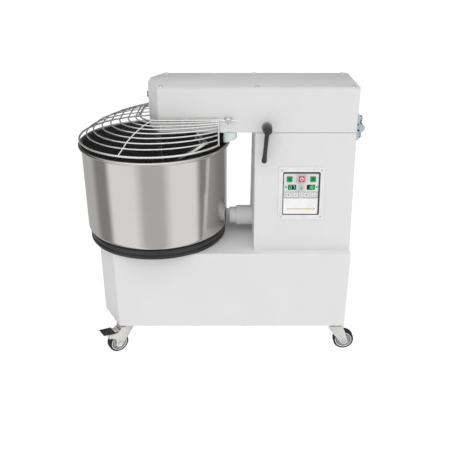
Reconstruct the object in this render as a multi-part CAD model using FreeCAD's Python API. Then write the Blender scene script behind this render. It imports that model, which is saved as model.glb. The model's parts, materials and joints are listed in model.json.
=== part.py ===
import FreeCAD, Part

import math
import os

# Spiral dough mixer, millimetres.
# Origin: centre of the bounding box, on the floor.  +Z is up, +X runs from the bowl to the column,
# and the control panel faces -Y.  Left to right the mixer is symmetric about the XZ plane,
# apart from the panel, the clamp lever and the way the casters happen to point.

V = FreeCAD.Vector
X_DIR = V(1, 0, 0)
Y_DIR = V(0, 1, 0)
Z_DIR = V(0, 0, 1)

# ---------------------------------------------------------------- driving dimensions
FLOOR_Z = 4.0             # heights below are measured from 4 mm under the floor; save() moves them
BOWL_X = -206.75          # bowl axis
SHEET = 2.0               # thickness of the casings' sheet
EPS = 0.5                 # overshoot of a cutting tool past a face

BASE_Z0 = 108.0           # underside of the base
BASE_Z1 = 373.0           # top of the base
HEAD_Z0 = 735.0           # underside of the head
HEAD_Z1 = 866.0           # top edge of the head casing, under its cover
COLUMN_Z1 = 734.2         # top of the column
COVER_T = 2.0             # head cover and rear cover plates

BACK_X = BOWL_X + 604.5   # open rear edge of the casings
COLUMN_X = BOWL_X + 308.5
BASE_NOSE_X = BOWL_X - 186.0
BASE_SHOULDER_X = BOWL_X - 123.0
BASE_HALF = 179.5
BASE_NOSE_HALF = 71.5
COLUMN_FOOT_HALF = 152.0
HEAD_HALF = 104.8
HEAD_NOSE_HALF = 37.4
HEAD_NOSE_X = BOWL_X - 7.5
HEAD_SHOULDER_X = BOWL_X + 26.5
TAPER = math.degrees(math.atan2(COLUMN_FOOT_HALF - HEAD_HALF, COLUMN_Z1 - BASE_Z1))

BOWL_Z0 = 404.0           # underside of the bowl's bottom
BOWL_RIM_Z = 685.0        # top of the rolled rim
BOWL_RIM_R = 235.0
BOWL_R = 225.35           # outer radius of the upright wall
BOWL_CORNER = 15.0
BOWL_WALL = 2.0
RIM_BEAD_R = 5.0
RING_Z0 = 374.75          # underside of the black ring below the bowl

SPIRAL_X = BOWL_X + 130.0
DRIVE_X = BOWL_X + 430.0
BREAKER_X = BOWL_X + 14.0
SPINDLE_R = 17.5
RUNNING = 0.05            # radial clearance of a shaft in its bearing
BELT_GAP = 0.4

GUARD_PIVOT_X = BOWL_X + 229.8
GUARD_PIVOT_Z = 775.0
HINGE_X = BOWL_X + 619.2
HINGE_Z = 745.8
HINGE_R = 12.0
HINGE_PIN_R = 5.0
LEVER_X = BOWL_X + 342.5
LEVER_Z = 752.0
PAD_X = BOWL_X + 235.0
PAD_Y = 90.0

PANEL_X = BOWL_X + 450.0
PANEL_Z = 553.0

CASTER_Y = 144.0
CASTER_TRAIL = 32.0
WHEEL_R = 33.5
AXLE_Z = FLOOR_Z + WHEEL_R
CASTERS = (
    # name, swivel axis X, side, direction the wheel trails in (degrees from +X), has a brake
    ("nose_front", BOWL_X - 110.0, -1, 214.0, True),
    ("nose_rear", BOWL_X - 110.0, 1, 140.0, True),
    ("column_front", BOWL_X + 583.0, -1, 0.0, False),
    ("column_rear", BOWL_X + 583.0, 1, 35.0, False),
)


# ---------------------------------------------------------------- helpers
def box(x0, x1, y0, y1, z0, z1):
    return Part.makeBox(x1 - x0, y1 - y0, z1 - z0, V(x0, y0, z0))


def cyl(radius, start, end):
    """Cylinder between two points."""
    axis = end - start
    return Part.makeCylinder(radius, axis.Length, start, axis)


def upright(radius, x, y, z0, z1):
    return cyl(radius, V(x, y, z0), V(x, y, z1))


def across(radius, x, z, y0, y1):
    return cyl(radius, V(x, y0, z), V(x, y1, z))


def along(radius, y, z, x0, x1):
    return cyl(radius, V(x0, y, z), V(x1, y, z))


def prism(points, direction):
    """Extrude a closed polygon along a vector."""
    wire = Part.makePolygon(list(points) + [points[0]])
    return Part.Face(wire).extrude(direction)


def fuse(*shapes):
    joined = shapes[0].multiFuse(list(shapes[1:]))
    return joined.removeSplitter()


def revolve_profile(points, axis_point, axis):
    wire = Part.makePolygon(list(points) + [points[0]])
    return Part.Face(wire).revolve(axis_point, axis, 360)


def dome(radius, height, centre, outward):
    """Rounded screw head that sits on a face at centre."""
    ball_r = (radius * radius + height * height) / (2 * height)
    unit = V(outward).normalize()
    ball = Part.makeSphere(ball_r, centre - unit * (ball_r - height))
    keep = Part.makeCylinder(radius + 1, height + 1, centre, unit)
    return ball.common(keep)


def hexagon(flat, height, centre, outward):
    """Hexagonal bolt head or nut across the given flats."""
    corner = flat / math.sqrt(3)
    points = [V(corner * math.cos(math.radians(60 * i)), corner * math.sin(math.radians(60 * i)), 0)
              for i in range(7)]
    solid = Part.Face(Part.makePolygon(points)).extrude(V(0, 0, height))
    solid.Placement = FreeCAD.Placement(centre, FreeCAD.Rotation(Z_DIR, V(outward)))
    return solid


def hex_bolt(shank_r, flat, head_h, seat, outward, length):
    unit = V(outward).normalize()
    head = hexagon(flat, head_h, seat, unit)
    washer = Part.makeCylinder(flat * 0.62, 1.6, seat, unit)
    shank = Part.makeCylinder(shank_r, length, seat - unit * length, unit)
    return fuse(head, washer, shank)


def mirrored(shape):
    """Copy on the other side of the XZ plane."""
    return shape.mirror(V(0, 0, 0), Y_DIR)


def save(name, shape):
    shape.translate(V(0, 0, -FLOOR_Z))
    if not shape.isValid():
        print("INVALID", name)
    shape.exportStep("parts/%s.step" % name)
    print("%-26s solids %2d  volume %10.0f mm3" % (name, len(shape.Solids), shape.Volume))


def group(shapes):
    return Part.makeCompound(list(shapes))


# ---------------------------------------------------------------- outlines
def chamfered_outline(nose_x, shoulder_x, back_x, half, nose_half, inset, z):
    """Plan outline of a casing with a chamfered nose, shrunk inwards by inset."""
    run = shoulder_x - nose_x
    rise = half - nose_half
    slant = math.hypot(run, rise)
    nose_step = inset * (slant - run) / rise
    shoulder_step = inset * (slant - rise) / run
    return [
        V(nose_x + inset, -(nose_half - nose_step), z),
        V(shoulder_x + shoulder_step, -(half - inset), z),
        V(back_x, -(half - inset), z),
        V(back_x, half - inset, z),
        V(shoulder_x + shoulder_step, half - inset, z),
        V(nose_x + inset, nose_half - nose_step, z),
    ]


def base_outline(inset, back_x, z):
    return chamfered_outline(BASE_NOSE_X, BASE_SHOULDER_X, back_x, BASE_HALF, BASE_NOSE_HALF, inset, z)


def head_outline(inset, back_x, z):
    return chamfered_outline(HEAD_NOSE_X, HEAD_SHOULDER_X, back_x, HEAD_HALF, HEAD_NOSE_HALF, inset, z)


def column_section(inset, top, bottom, x):
    """Cross-section of the column, narrower at its top."""
    slope = (COLUMN_FOOT_HALF - HEAD_HALF) / (COLUMN_Z1 - BASE_Z1)
    half_top = HEAD_HALF + (COLUMN_Z1 - top) * slope - inset
    half_bottom = HEAD_HALF + (COLUMN_Z1 - bottom) * slope - inset
    return [V(x, -half_bottom, bottom), V(x, half_bottom, bottom), V(x, half_top, top), V(x, -half_top, top)]


# ---------------------------------------------------------------- fasteners
def casing_screw(seat, outward, length=6.0):
    """M5 dome-head screw of the rear cover and the panel bezel."""
    unit = V(outward).normalize()
    return fuse(dome(4.6, 2.6, seat, unit), Part.makeCylinder(2.4, length, seat - unit * length, unit))


def rear_screw_seats():
    x = BACK_X + COVER_T
    slope = (COLUMN_FOOT_HALF - HEAD_HALF) / (COLUMN_Z1 - BASE_Z1)
    seats = []
    for z in (688.0, 540.0, 391.0):
        half = HEAD_HALF + (COLUMN_Z1 - z) * slope - 9.0
        seats += [V(x, -half, z), V(x, half, z)]
    for z in (350.0, 240.0, 124.0):
        seats += [V(x, -(BASE_HALF - 9.0), z), V(x, BASE_HALF - 9.0, z)]
    return seats


def panel_placement():
    """Frame of the panel: local X to the right, local Y up the column's face, local Z out of it."""
    slope = (COLUMN_FOOT_HALF - HEAD_HALF) / (COLUMN_Z1 - BASE_Z1)
    face_y = -(HEAD_HALF + (COLUMN_Z1 - PANEL_Z) * slope)
    return FreeCAD.Placement(V(PANEL_X, face_y, PANEL_Z), FreeCAD.Rotation(X_DIR, 90 - TAPER))


def on_panel(shape):
    shape.Placement = panel_placement().multiply(shape.Placement)
    return shape


BEZEL_W = 138.0
BEZEL_H = 162.0
BEZEL_T = 4.0
INSET_W = 110.0
INSET_H = 131.0
BEZEL_SCREWS = ((-60.5, -71.5), (60.5, -71.5), (-60.5, 71.5), (60.5, 71.5))
LARGE_KEYS = (("key_start_bowl", -36.0), ("key_stop", 0.0), ("key_start_spiral", 34.0))
SMALL_KEYS = (("key_time_less_a", -39.0), ("key_time_more_a", -16.5),
              ("key_time_less_b", 16.0), ("key_time_more_b", 38.5))
LARGE_KEY_Y = 45.0
SMALL_KEY_Y = -4.0
LARGE_KEY = 17.0
SMALL_KEY = 14.0
DISPLAYS = (-28.0, 28.0)
DISPLAY_Y = 20.0
LEDS = ((-46.0, 20.5), (0.0, 17.0), (45.5, 20.5))


# ---------------------------------------------------------------- base and column
def base_casing():
    outer = prism(base_outline(0, BACK_X, BASE_Z0), V(0, 0, BASE_Z1 - BASE_Z0))
    edges = [e for e in outer.Edges
             if abs(e.Vertexes[0].Z - e.Vertexes[-1].Z) > 100 and e.Vertexes[0].X < BACK_X - 1]
    outer = outer.makeFillet(4.0, edges)
    inner = prism(base_outline(SHEET, BACK_X + 10, BASE_Z0 - EPS), V(0, 0, BASE_Z1 - BASE_Z0 - SHEET + EPS))
    shell = outer.cut(inner)
    spindle_hole = upright(46.0, BOWL_X, 0, BASE_Z0, BASE_Z1 + EPS)
    column_hole = box(COLUMN_X + 14, BACK_X - 14, -120, 120, BASE_Z1 - 10, BASE_Z1 + EPS)
    return shell.cut(spindle_hole).cut(column_hole)


def base_floor_plate(bolt_holes):
    depth = SHEET + 0.2
    plate = prism(base_outline(depth, BACK_X, BASE_Z0), V(0, 0, 3.0))
    vent = [box(BOWL_X + 250 + 30 * i, BOWL_X + 256 + 30 * i, -60, 60, BASE_Z0 - EPS, BASE_Z0 + 4)
            for i in range(6)]
    return plate.cut(group(vent)).cut(group(bolt_holes))


def column_casing():
    outer = prism(column_section(0, COLUMN_Z1, BASE_Z1, COLUMN_X), V(BACK_X - COLUMN_X, 0, 0))
    edges = [e for e in outer.Edges
             if abs(e.Vertexes[0].Z - e.Vertexes[-1].Z) > 100 and e.Vertexes[0].X < COLUMN_X + 1]
    outer = outer.makeFillet(4.0, edges)
    inner = prism(column_section(SHEET, COLUMN_Z1 - 3, BASE_Z1 - EPS, COLUMN_X + SHEET),
                  V(BACK_X - COLUMN_X + 10, 0, 0))
    shell = outer.cut(inner)
    coupling_hole = upright(42.0, DRIVE_X, 0, COLUMN_Z1 - 20, COLUMN_Z1 + EPS)
    window = on_panel(box(-56, 56, -67, 67, -12, 2))
    shell = shell.cut(coupling_hole).cut(window)
    return fuse(shell, clamp_fork())


def clamp_fork():
    """Upright tab welded to the column's top; the clamp spindle drops into its open slot."""
    y0, y1 = -101.0, -95.0
    tab = box(LEVER_X - 20, LEVER_X + 20, y0, y1, COLUMN_Z1 - 3, LEVER_Z + 14)
    slot = box(LEVER_X - 9.5, LEVER_X + 9.5, y0 - 1, y1 + 1, LEVER_Z, LEVER_Z + 20)
    round_end = across(9.5, LEVER_X, LEVER_Z, y0 - 1, y1 + 1)
    return tab.cut(slot).cut(round_end)


def rear_cover(screws, hinge_bolts):
    x0 = BACK_X
    x1 = BACK_X + COVER_T
    column_part = prism(column_section(0.0, COLUMN_Z1, BASE_Z1, x0), V(COVER_T, 0, 0))
    base_part = box(x0, x1, -BASE_HALF, BASE_HALF, BASE_Z0, BASE_Z1)
    plate = fuse(column_part, base_part)
    slots = []
    for row in range(8):
        z = 180.0 + 16.0 * row
        slots.append(box(x0 - 1, x1 + 1, -60, 60, z, z + 5))
    gland_hole = along(9.0, CABLE_Y, CABLE_Z, x0 - 1, x1 + 1)
    return plate.cut(group(slots)).cut(gland_hole).cut(group(screws)).cut(group(hinge_bolts))


CABLE_Y = 120.0
CABLE_Z = 160.0
CABLE_BORE_R = 6.0


def cable_gland():
    """Strain-relief gland for the supply cable; its bore is open from end to end."""
    x0 = BACK_X - 10
    seat = BACK_X + COVER_T
    body = fuse(
        along(9.0, CABLE_Y, CABLE_Z, x0, seat + 2),
        hexagon(24.0, 6.0, V(seat, CABLE_Y, CABLE_Z), X_DIR),
        along(11.0, CABLE_Y, CABLE_Z, seat + 6, seat + 18),
        hexagon(24.0, 4.0, V(x0 + 3, CABLE_Y, CABLE_Z), X_DIR),
    )
    return body.cut(along(CABLE_BORE_R, CABLE_Y, CABLE_Z, x0 - 1, seat + 20))


def thrust_tube():
    z = 425.7
    tube = along(32.0, 0, z, BOWL_X + 256.5, COLUMN_X)
    edges = [e for e in tube.Edges if e.BoundBox.XMax < BOWL_X + 257]
    tube = tube.makeFillet(2.0, edges)
    return tube.cut(along(20.0, 0, z, BOWL_X + 255, BOWL_X + 290))


def thrust_pad():
    """Nylon pad that stops the bowl leaning towards the column."""
    z = 425.7
    pad = along(26.6, 0, z, BOWL_X + 234.5, BOWL_X + 256.5)
    edges = [e for e in pad.Edges if e.BoundBox.XMax < BOWL_X + 235]
    pad = pad.makeFillet(3.0, edges)
    return fuse(pad, along(20.0, 0, z, BOWL_X + 256.5, BOWL_X + 288))


def bowl_bearing_housing():
    body = fuse(
        upright(75.0, BOWL_X, 0, BASE_Z1 - SHEET - 10, BASE_Z1 - SHEET),
        upright(38.0, BOWL_X, 0, 290, BASE_Z1 - SHEET),
    )
    return body.cut(upright(20.0 + RUNNING, BOWL_X, 0, 280, BASE_Z1))


def gearmotor():
    """Worm gearbox with its motor, bolted to the front wall of the column."""
    block = box(DRIVE_X - 60, DRIVE_X + 60, -60, 60, 430, 530)
    motor_x = DRIVE_X + 106
    motor = upright(50.0, motor_x, 0, 300, 520)
    fins = [upright(55.0, motor_x, 0, 330 + 18 * i, 338 + 18 * i) for i in range(8)]
    bridge = box(DRIVE_X + 50, motor_x, -45, 45, 450, 510)
    foot = box(COLUMN_X + SHEET, DRIVE_X - 55, -50, 50, 470, 488)
    body = fuse(block, motor, bridge, foot, *fins)
    return body.cut(upright(12.0 + RUNNING, DRIVE_X, 0, 420, 540))


BOWL_PULLEY_R = 160.0
DRIVE_PULLEY_R = 20.0
PULLEY_Z = 250.0
BELT_DEPTH = 5.0
BELT_WIDTH = 14.0


def belt_loop(x0, r0, x1, r1, z, width, depth):
    """Closed flat belt round two pulleys on one Y."""
    def loop(extra):
        ra, rb = r0 + extra, r1 + extra
        lean = math.asin((ra - rb) / (x1 - x0))
        sx, cy = math.sin(lean), math.cos(lean)
        a_top = V(x0 + ra * sx, ra * cy, 0)
        b_top = V(x1 + rb * sx, rb * cy, 0)
        a_low = V(a_top.x, -a_top.y, 0)
        b_low = V(b_top.x, -b_top.y, 0)
        edges = [
            Part.Arc(a_top, V(x0 - ra, 0, 0), a_low).toShape(),
            Part.makeLine(a_low, b_low),
            Part.Arc(b_low, V(x1 + rb, 0, 0), b_top).toShape(),
            Part.makeLine(b_top, a_top),
        ]
        solid = Part.Face(Part.Wire(edges)).extrude(V(0, 0, width))
        solid.translate(V(0, 0, z - width / 2))
        return solid
    inner = loop(0)
    inner.translate(V(0, 0, -1))
    return loop(depth).cut(inner.fuse(inner.translated(V(0, 0, 2))))


def grooved_pulley(radius, x, z, bore):
    """Pulley whose belt runs in a square groove."""
    half = BELT_WIDTH / 2 + 1.0
    rim = radius + 4.0
    points = [V(bore, 0, -half - 3), V(rim, 0, -half - 3), V(rim, 0, -half), V(radius, 0, -half),
              V(radius, 0, half), V(rim, 0, half), V(rim, 0, half + 3), V(bore, 0, half + 3)]
    pulley = revolve_profile(points, V(0, 0, 0), Z_DIR)
    pulley.translate(V(x, 0, z))
    return pulley


def base_belt():
    return belt_loop(BOWL_X, BOWL_PULLEY_R + BELT_GAP, DRIVE_X, DRIVE_PULLEY_R + BELT_GAP,
                     PULLEY_Z, BELT_WIDTH, BELT_DEPTH)


def bowl_pulley():
    pulley = grooved_pulley(BOWL_PULLEY_R, BOWL_X, PULLEY_Z, 20.0)
    holes = [upright(24.0, BOWL_X + 95 * math.cos(math.radians(a)), 95 * math.sin(math.radians(a)), 230, 270)
             for a in range(0, 360, 60)]
    return pulley.cut(group(holes))


# ---------------------------------------------------------------- bowl
def bowl():
    """Spun steel bowl with an upright wall, a rounded bottom corner and a rolled rim."""
    centre_x = BOWL_R - BOWL_CORNER
    centre_z = BOWL_Z0 + BOWL_CORNER
    inner_r = BOWL_R - BOWL_WALL
    top = BOWL_RIM_Z - RIM_BEAD_R

    def corner(radius):
        slant = math.cos(math.radians(45)) * radius
        return Part.Arc(V(centre_x, 0, centre_z - radius), V(centre_x + slant, 0, centre_z - slant),
                        V(centre_x + radius, 0, centre_z)).toShape()

    edges = [
        Part.makeLine(V(0, 0, BOWL_Z0), V(centre_x, 0, BOWL_Z0)),
        corner(BOWL_CORNER),
        Part.makeLine(V(BOWL_R, 0, centre_z), V(BOWL_R, 0, top)),
        Part.makeLine(V(BOWL_R, 0, top), V(inner_r, 0, top)),
        Part.makeLine(V(inner_r, 0, top), V(inner_r, 0, centre_z)),
        corner(BOWL_CORNER - BOWL_WALL),
        Part.makeLine(V(centre_x, 0, BOWL_Z0 + BOWL_WALL), V(0, 0, BOWL_Z0 + BOWL_WALL)),
        Part.makeLine(V(0, 0, BOWL_Z0 + BOWL_WALL), V(0, 0, BOWL_Z0)),
    ]
    wire = Part.Wire(Part.__sortEdges__(edges))
    wall = Part.Face(wire).revolve(V(0, 0, 0), Z_DIR, 360)
    bead = Part.makeTorus(BOWL_RIM_R - RIM_BEAD_R, RIM_BEAD_R, V(0, 0, top), Z_DIR)
    shape = fuse(wall, bead)
    shape.translate(V(BOWL_X, 0, 0))
    return shape


def bowl_ring():
    """Black ring that carries the bowl: two bands with a groove between them."""
    inner = 201.0
    outer = 220.0
    groove = 217.0
    groove_z0 = 385.0
    groove_z1 = 389.0
    points = [V(inner, 0, RING_Z0), V(outer - 1, 0, RING_Z0), V(outer, 0, RING_Z0 + 1),
              V(outer, 0, groove_z0 - 1), V(outer - 1, 0, groove_z0), V(groove, 0, groove_z0),
              V(groove, 0, groove_z1), V(outer - 1, 0, groove_z1), V(outer, 0, groove_z1 + 1),
              V(outer, 0, BOWL_Z0 - 4), V(outer - 1, 0, BOWL_Z0 - 1.5), V(outer - 3.5, 0, BOWL_Z0),
              V(inner, 0, BOWL_Z0)]
    ring = revolve_profile(points, V(0, 0, 0), Z_DIR)
    ring.translate(V(BOWL_X, 0, 0))
    return ring


def turntable():
    return fuse(
        upright(200.0, BOWL_X, 0, BOWL_Z0 - 6, BOWL_Z0),
        upright(41.0, BOWL_X, 0, RING_Z0, BOWL_Z0 - 5),
        upright(20.0, BOWL_X, 0, 232, RING_Z0 + 1),
    )


# ---------------------------------------------------------------- head
def head_casing(side_holes, bolt_holes):
    outer = prism(head_outline(0, BACK_X + COVER_T, HEAD_Z0), V(0, 0, HEAD_Z1 - HEAD_Z0))
    edges = [e for e in outer.Edges if abs(e.Vertexes[0].Z - e.Vertexes[-1].Z) > 100]
    outer = outer.makeFillet(4.0, edges)
    inner = prism(head_outline(SHEET, BACK_X + COVER_T - SHEET, HEAD_Z0 + SHEET),
                  V(0, 0, HEAD_Z1 - HEAD_Z0))
    shell = outer.cut(inner)
    openings = [
        upright(35.0, SPIRAL_X, 0, HEAD_Z0 - 1, HEAD_Z0 + 10),
        upright(40.0, DRIVE_X, 0, HEAD_Z0 - 1, HEAD_Z0 + 10),
        box(LEVER_X - 24, LEVER_X + 24, -102.6, -92, HEAD_Z0 - 1, HEAD_Z0 + 10),
    ]
    return shell.cut(group(openings)).cut(group(side_holes)).cut(group(bolt_holes))


def head_cover(screws):
    plate = prism(head_outline(0, BACK_X + COVER_T, HEAD_Z1), V(0, 0, COVER_T))
    edges = [e for e in plate.Edges if abs(e.Vertexes[0].Z - e.Vertexes[-1].Z) > 1]
    plate = plate.makeFillet(4.0, edges)
    return plate.cut(group(screws))


def head_screw_seats():
    z = HEAD_Z1 + COVER_T
    xs = (BOWL_X + 36.0, BOWL_X + 312.0, BOWL_X + 588.0)
    return [V(x, side * (HEAD_HALF - 10.0), z) for x in xs for side in (-1, 1)]


def head_cover_screw(seat):
    return fuse(dome(6.5, 3.6, seat, Z_DIR), upright(3.0, seat.x, seat.y, seat.z - COVER_T, seat.z))


def tension_bolt():
    """Belt-tension bolt in the nose of the head."""
    z = 826.0
    return fuse(
        along(4.0, 0, z, HEAD_NOSE_X - 1, HEAD_NOSE_X + 30),
        hexagon(16.0, 6.5, V(HEAD_NOSE_X - 8.5, 0, z), X_DIR),
        along(10.0, 0, z, HEAD_NOSE_X - 2, HEAD_NOSE_X),
    )


def head_bearing_housings():
    """Bearing housings of the spiral and of the head's drive shaft, bolted inside the head."""
    floor = HEAD_Z0 + SHEET
    spiral = fuse(upright(68.0, SPIRAL_X, 0, floor, floor + 8), upright(40.0, SPIRAL_X, 0, floor, 795),
                  upright(34.0, SPIRAL_X, 0, HEAD_Z0 - 4, floor + 1))
    spiral = spiral.cut(upright(SPINDLE_R + RUNNING, SPIRAL_X, 0, HEAD_Z0 - 10, 800))
    drive = upright(52.0, DRIVE_X, 0, floor, 795)
    drive = drive.cut(upright(42.0, DRIVE_X, 0, floor - 1, 762))
    drive = drive.cut(upright(12.0 + RUNNING, DRIVE_X, 0, 750, 800))
    return group([spiral, drive])


HEAD_PULLEY_R = 40.0
HEAD_PULLEY_Z = 813.0


def head_belt():
    r = HEAD_PULLEY_R + BELT_GAP
    return belt_loop(SPIRAL_X, r, DRIVE_X, r, HEAD_PULLEY_Z, BELT_WIDTH, BELT_DEPTH)


def breaker_bar():
    """Straight bar that the dough is pressed against; its flange bolts under the head."""
    bar = upright(15.0, BREAKER_X, 0, 432, HEAD_Z0 - 5)
    edges = [e for e in bar.Edges if e.BoundBox.ZMax < 433]
    bar = bar.makeFillet(6.0, edges)
    flange = upright(21.0, BREAKER_X, 0, HEAD_Z0 - 10, HEAD_Z0)
    return fuse(bar, flange)


def lever_boss():
    boss = across(15.0, LEVER_X, LEVER_Z, -119.5, -HEAD_HALF)
    edges = [e for e in boss.Edges if e.BoundBox.YMax < -119]
    boss = boss.makeFillet(2.0, edges)
    return boss.cut(across(8.0 + RUNNING, LEVER_X, LEVER_Z, -121, -100))


def guard_pivot_pins():
    """Shoulder pins on both sides of the head that the guard swings on."""
    pin = fuse(
        across(12.0, GUARD_PIVOT_X, GUARD_PIVOT_Z, -HEAD_HALF - 4, -HEAD_HALF),
        across(5.0, GUARD_PIVOT_X, GUARD_PIVOT_Z, -126.0, -HEAD_HALF - 3),
        dome(7.0, 2.5, V(GUARD_PIVOT_X, -125.0, GUARD_PIVOT_Z), V(0, -1, 0)),
    )
    return group([pin, mirrored(pin)])


def rim_pad(side):
    """Nylon pad under the head, over the bowl's rim; its foot slants up towards the column."""
    radius = 20.2
    inner_z = 703.5
    outer_z = 716.0
    x0 = PAD_X - radius
    x1 = PAD_X + radius
    y = side * PAD_Y
    pad = upright(radius, PAD_X, y, 690, HEAD_Z0)
    waste = prism([V(x0 - 1, y - 30, 680), V(x1 + 1, y - 30, 680), V(x1 + 1, y - 30, outer_z + 0.3),
                   V(x0 - 1, y - 30, inner_z - 0.3)], V(0, 60, 0))
    return pad.cut(waste)


# ---------------------------------------------------------------- hinge
KNUCKLES_LOWER = ((-96.0, -58.0), (-19.0, 19.0), (58.0, 96.0))
KNUCKLES_UPPER = ((-57.0, -20.0), (20.0, 57.0))
HINGE_BOLT_Y = (-78.0, 0.0, 78.0)
LEAF_X0 = BACK_X + COVER_T + 0.5
LEAF_X1 = LEAF_X0 + 8.5
LOWER_BOLT_Z = 721.5
UPPER_BOLT_Z = 770.5


def knuckles(spans, radius):
    return [across(radius, HINGE_X, HINGE_Z, y0, y1) for y0, y1 in spans]


def hinge_lower_leaf(bolts):
    plate = box(BACK_X + COVER_T, LEAF_X1, -96, 96, 709.5, 731.5)
    neck = box(LEAF_X0, LEAF_X1, -96, 96, 731.5, HINGE_Z - 3)
    upper_space = [across(HINGE_R + 0.7, HINGE_X, HINGE_Z, y0 - 1, y1 + 1) for y0, y1 in KNUCKLES_UPPER]
    leaf = fuse(plate, neck).cut(group(upper_space))
    leaf = fuse(leaf, across(HINGE_PIN_R, HINGE_X, HINGE_Z, -98, 98), *knuckles(KNUCKLES_LOWER, HINGE_R))
    return leaf.cut(group(bolts))


def hinge_upper_leaf(bolts):
    x0 = BACK_X + COVER_T
    profile = [V(x0, -96, HINGE_Z + 3), V(LEAF_X1, -96, HINGE_Z + 3), V(LEAF_X1, -96, 782), V(x0, -96, 790)]
    plate = prism(profile, V(0, 192, 0))
    lower_space = [across(HINGE_R + 0.7, HINGE_X, HINGE_Z, y0 - 1, y1 + 1) for y0, y1 in KNUCKLES_LOWER]
    leaf = plate.cut(group(lower_space))
    leaf = fuse(leaf, *knuckles(KNUCKLES_UPPER, HINGE_R))
    bore = across(HINGE_PIN_R + RUNNING, HINGE_X, HINGE_Z, -100, 100)
    return leaf.cut(bore).cut(group(bolts))


def hinge_bolts(z, length):
    return [hex_bolt(5.0, 17.0, 6.4, V(LEAF_X1, y, z), X_DIR, length) for y in HINGE_BOLT_Y]


# ---------------------------------------------------------------- drive
def dogs(z0, z1, start):
    """Three coupling dogs, each 40 degrees of a ring."""
    ring = upright(29.0, DRIVE_X, 0, z0, z1).cut(upright(15.0, DRIVE_X, 0, z0 - 1, z1 + 1))
    cutters = []
    for i in range(3):
        wedge = Part.makeCylinder(40.0, z1 - z0 + 2, V(DRIVE_X, 0, z0 - 1), Z_DIR, 80)
        wedge.rotate(V(DRIVE_X, 0, 0), Z_DIR, start + 40 + 120 * i)
        cutters.append(wedge)
    return ring.cut(group(cutters))


def drive_shaft():
    """Gearbox output shaft with the bowl's drive pulley below and half of the coupling on top."""
    shape = fuse(upright(12.0, DRIVE_X, 0, 236, 720), upright(30.0, DRIVE_X, 0, 712, 722),
                 dogs(721, 737, 0))
    return fuse(shape, grooved_pulley(DRIVE_PULLEY_R, DRIVE_X, PULLEY_Z, 11.0))


def head_drive_hub():
    """Upper half of the coupling, its shaft and the pulley that drives the spiral."""
    shape = fuse(upright(12.0, DRIVE_X, 0, 744, 826), upright(30.0, DRIVE_X, 0, 742, 752),
                 dogs(726, 743, 60))
    return fuse(shape, grooved_pulley(HEAD_PULLEY_R, DRIVE_X, HEAD_PULLEY_Z, 11.0))


def spiral_pulley():
    return grooved_pulley(HEAD_PULLEY_R, SPIRAL_X, HEAD_PULLEY_Z, SPINDLE_R)


def spiral_hook():
    """Round-bar spiral: an arm leaves the shaft and runs down one turn to the bowl's bottom."""
    bar_r = 12.0
    turn_r = 70.0
    pitch = 320.0
    z_low = 437.0
    z_high = 688.0
    turns = (z_high - z_low) / pitch
    top_angle = -67.0
    low_angle = top_angle - 360.0 * turns
    helix = Part.makeHelix(pitch, z_high - z_low, turn_r)
    helix.rotate(V(0, 0, 0), Z_DIR, low_angle)
    helix.translate(V(SPIRAL_X, 0, z_low))
    path = Part.Wire(helix.Edges)
    first = path.Edges[0]
    start = first.valueAt(first.FirstParameter)
    tangent = first.tangentAt(first.FirstParameter)
    circle = Part.Wire(Part.makeCircle(bar_r, start, tangent))
    bar = path.makePipeShell([circle], True, True)

    def at(angle, radius, z):
        return V(SPIRAL_X + radius * math.cos(math.radians(angle)), radius * math.sin(math.radians(angle)), z)

    top = at(top_angle, turn_r, z_high)
    low = at(low_angle, turn_r, z_low)
    shaft_foot = V(SPIRAL_X, 0, 694)
    tip = at(low_angle - 38, turn_r - 20, z_low - 0.6)
    return fuse(
        bar,
        Part.makeSphere(bar_r + 0.3, top),
        cyl(bar_r, top, shaft_foot),
        Part.makeSphere(bar_r + 0.3, low),
        cyl(bar_r - 0.4, low, tip),
        Part.makeSphere(bar_r - 0.2, tip),
        upright(SPINDLE_R, SPIRAL_X, 0, 684, 828),
        upright(27.0, SPIRAL_X, 0, 712, 728),
        upright(22.0, SPIRAL_X, 0, 690, 713),
    )


# ---------------------------------------------------------------- guard
GUARD_END_X = 201.0       # from the bowl axis
GUARD_END_Y = 112.0
GUARD_RINGS = (
    # height, reach over the nose, half-width at the bowl axis, corner radius, wire radius
    (700.0, 229.0, 229.0, 229.0, 2.9),
    (717.0, 204.0, 210.0, 203.0, 2.1),
    (731.0, 180.0, 199.0, 182.0, 2.1),
    (742.0, 152.0, 185.0, 160.0, 2.1),
    (752.0, 124.0, 172.0, 140.0, 2.1),
    (760.0, 96.0, 158.0, 120.0, 2.1),
    (766.0, 69.0, 146.0, 100.0, 2.1),
    (771.0, 46.0, 131.0, 80.0, 2.1),
    (775.0, 32.0, 118.0, 60.0, 2.4),
)


def ring_path(height, reach, half, corner):
    """Centre line of one guard wire: across the nose, round two corners and back to the end bars."""
    corner_x = BOWL_X - reach + corner
    flat = half - corner
    end_x = BOWL_X + GUARD_END_X
    run = end_x - corner_x
    sag = half - GUARD_END_Y

    def side(sign):
        nose = V(corner_x - corner, sign * flat, height)
        middle = V(corner_x - corner * math.cos(math.radians(45)),
                   sign * (flat + corner * math.sin(math.radians(45))), height)
        shoulder = V(corner_x, sign * half, height)
        bend = Part.Arc(nose, middle, shoulder).toShape()
        arc_r = (run * run + sag * sag) / (2 * sag)
        half_turn = math.asin(run / arc_r) / 2
        mid = V(corner_x + arc_r * math.sin(half_turn),
                sign * (half - arc_r * (1 - math.cos(half_turn))), height)
        sweep = Part.Arc(shoulder, mid, V(end_x, sign * GUARD_END_Y, height)).toShape()
        return bend, sweep

    front_bend, front_sweep = side(-1)
    back_bend, back_sweep = side(1)
    edges = [front_sweep, front_bend]
    if flat > 0.5:
        edges.append(Part.makeLine(V(corner_x - corner, -flat, height), V(corner_x - corner, flat, height)))
    edges += [back_bend, back_sweep]
    return Part.Wire(Part.__sortEdges__(edges))


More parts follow.
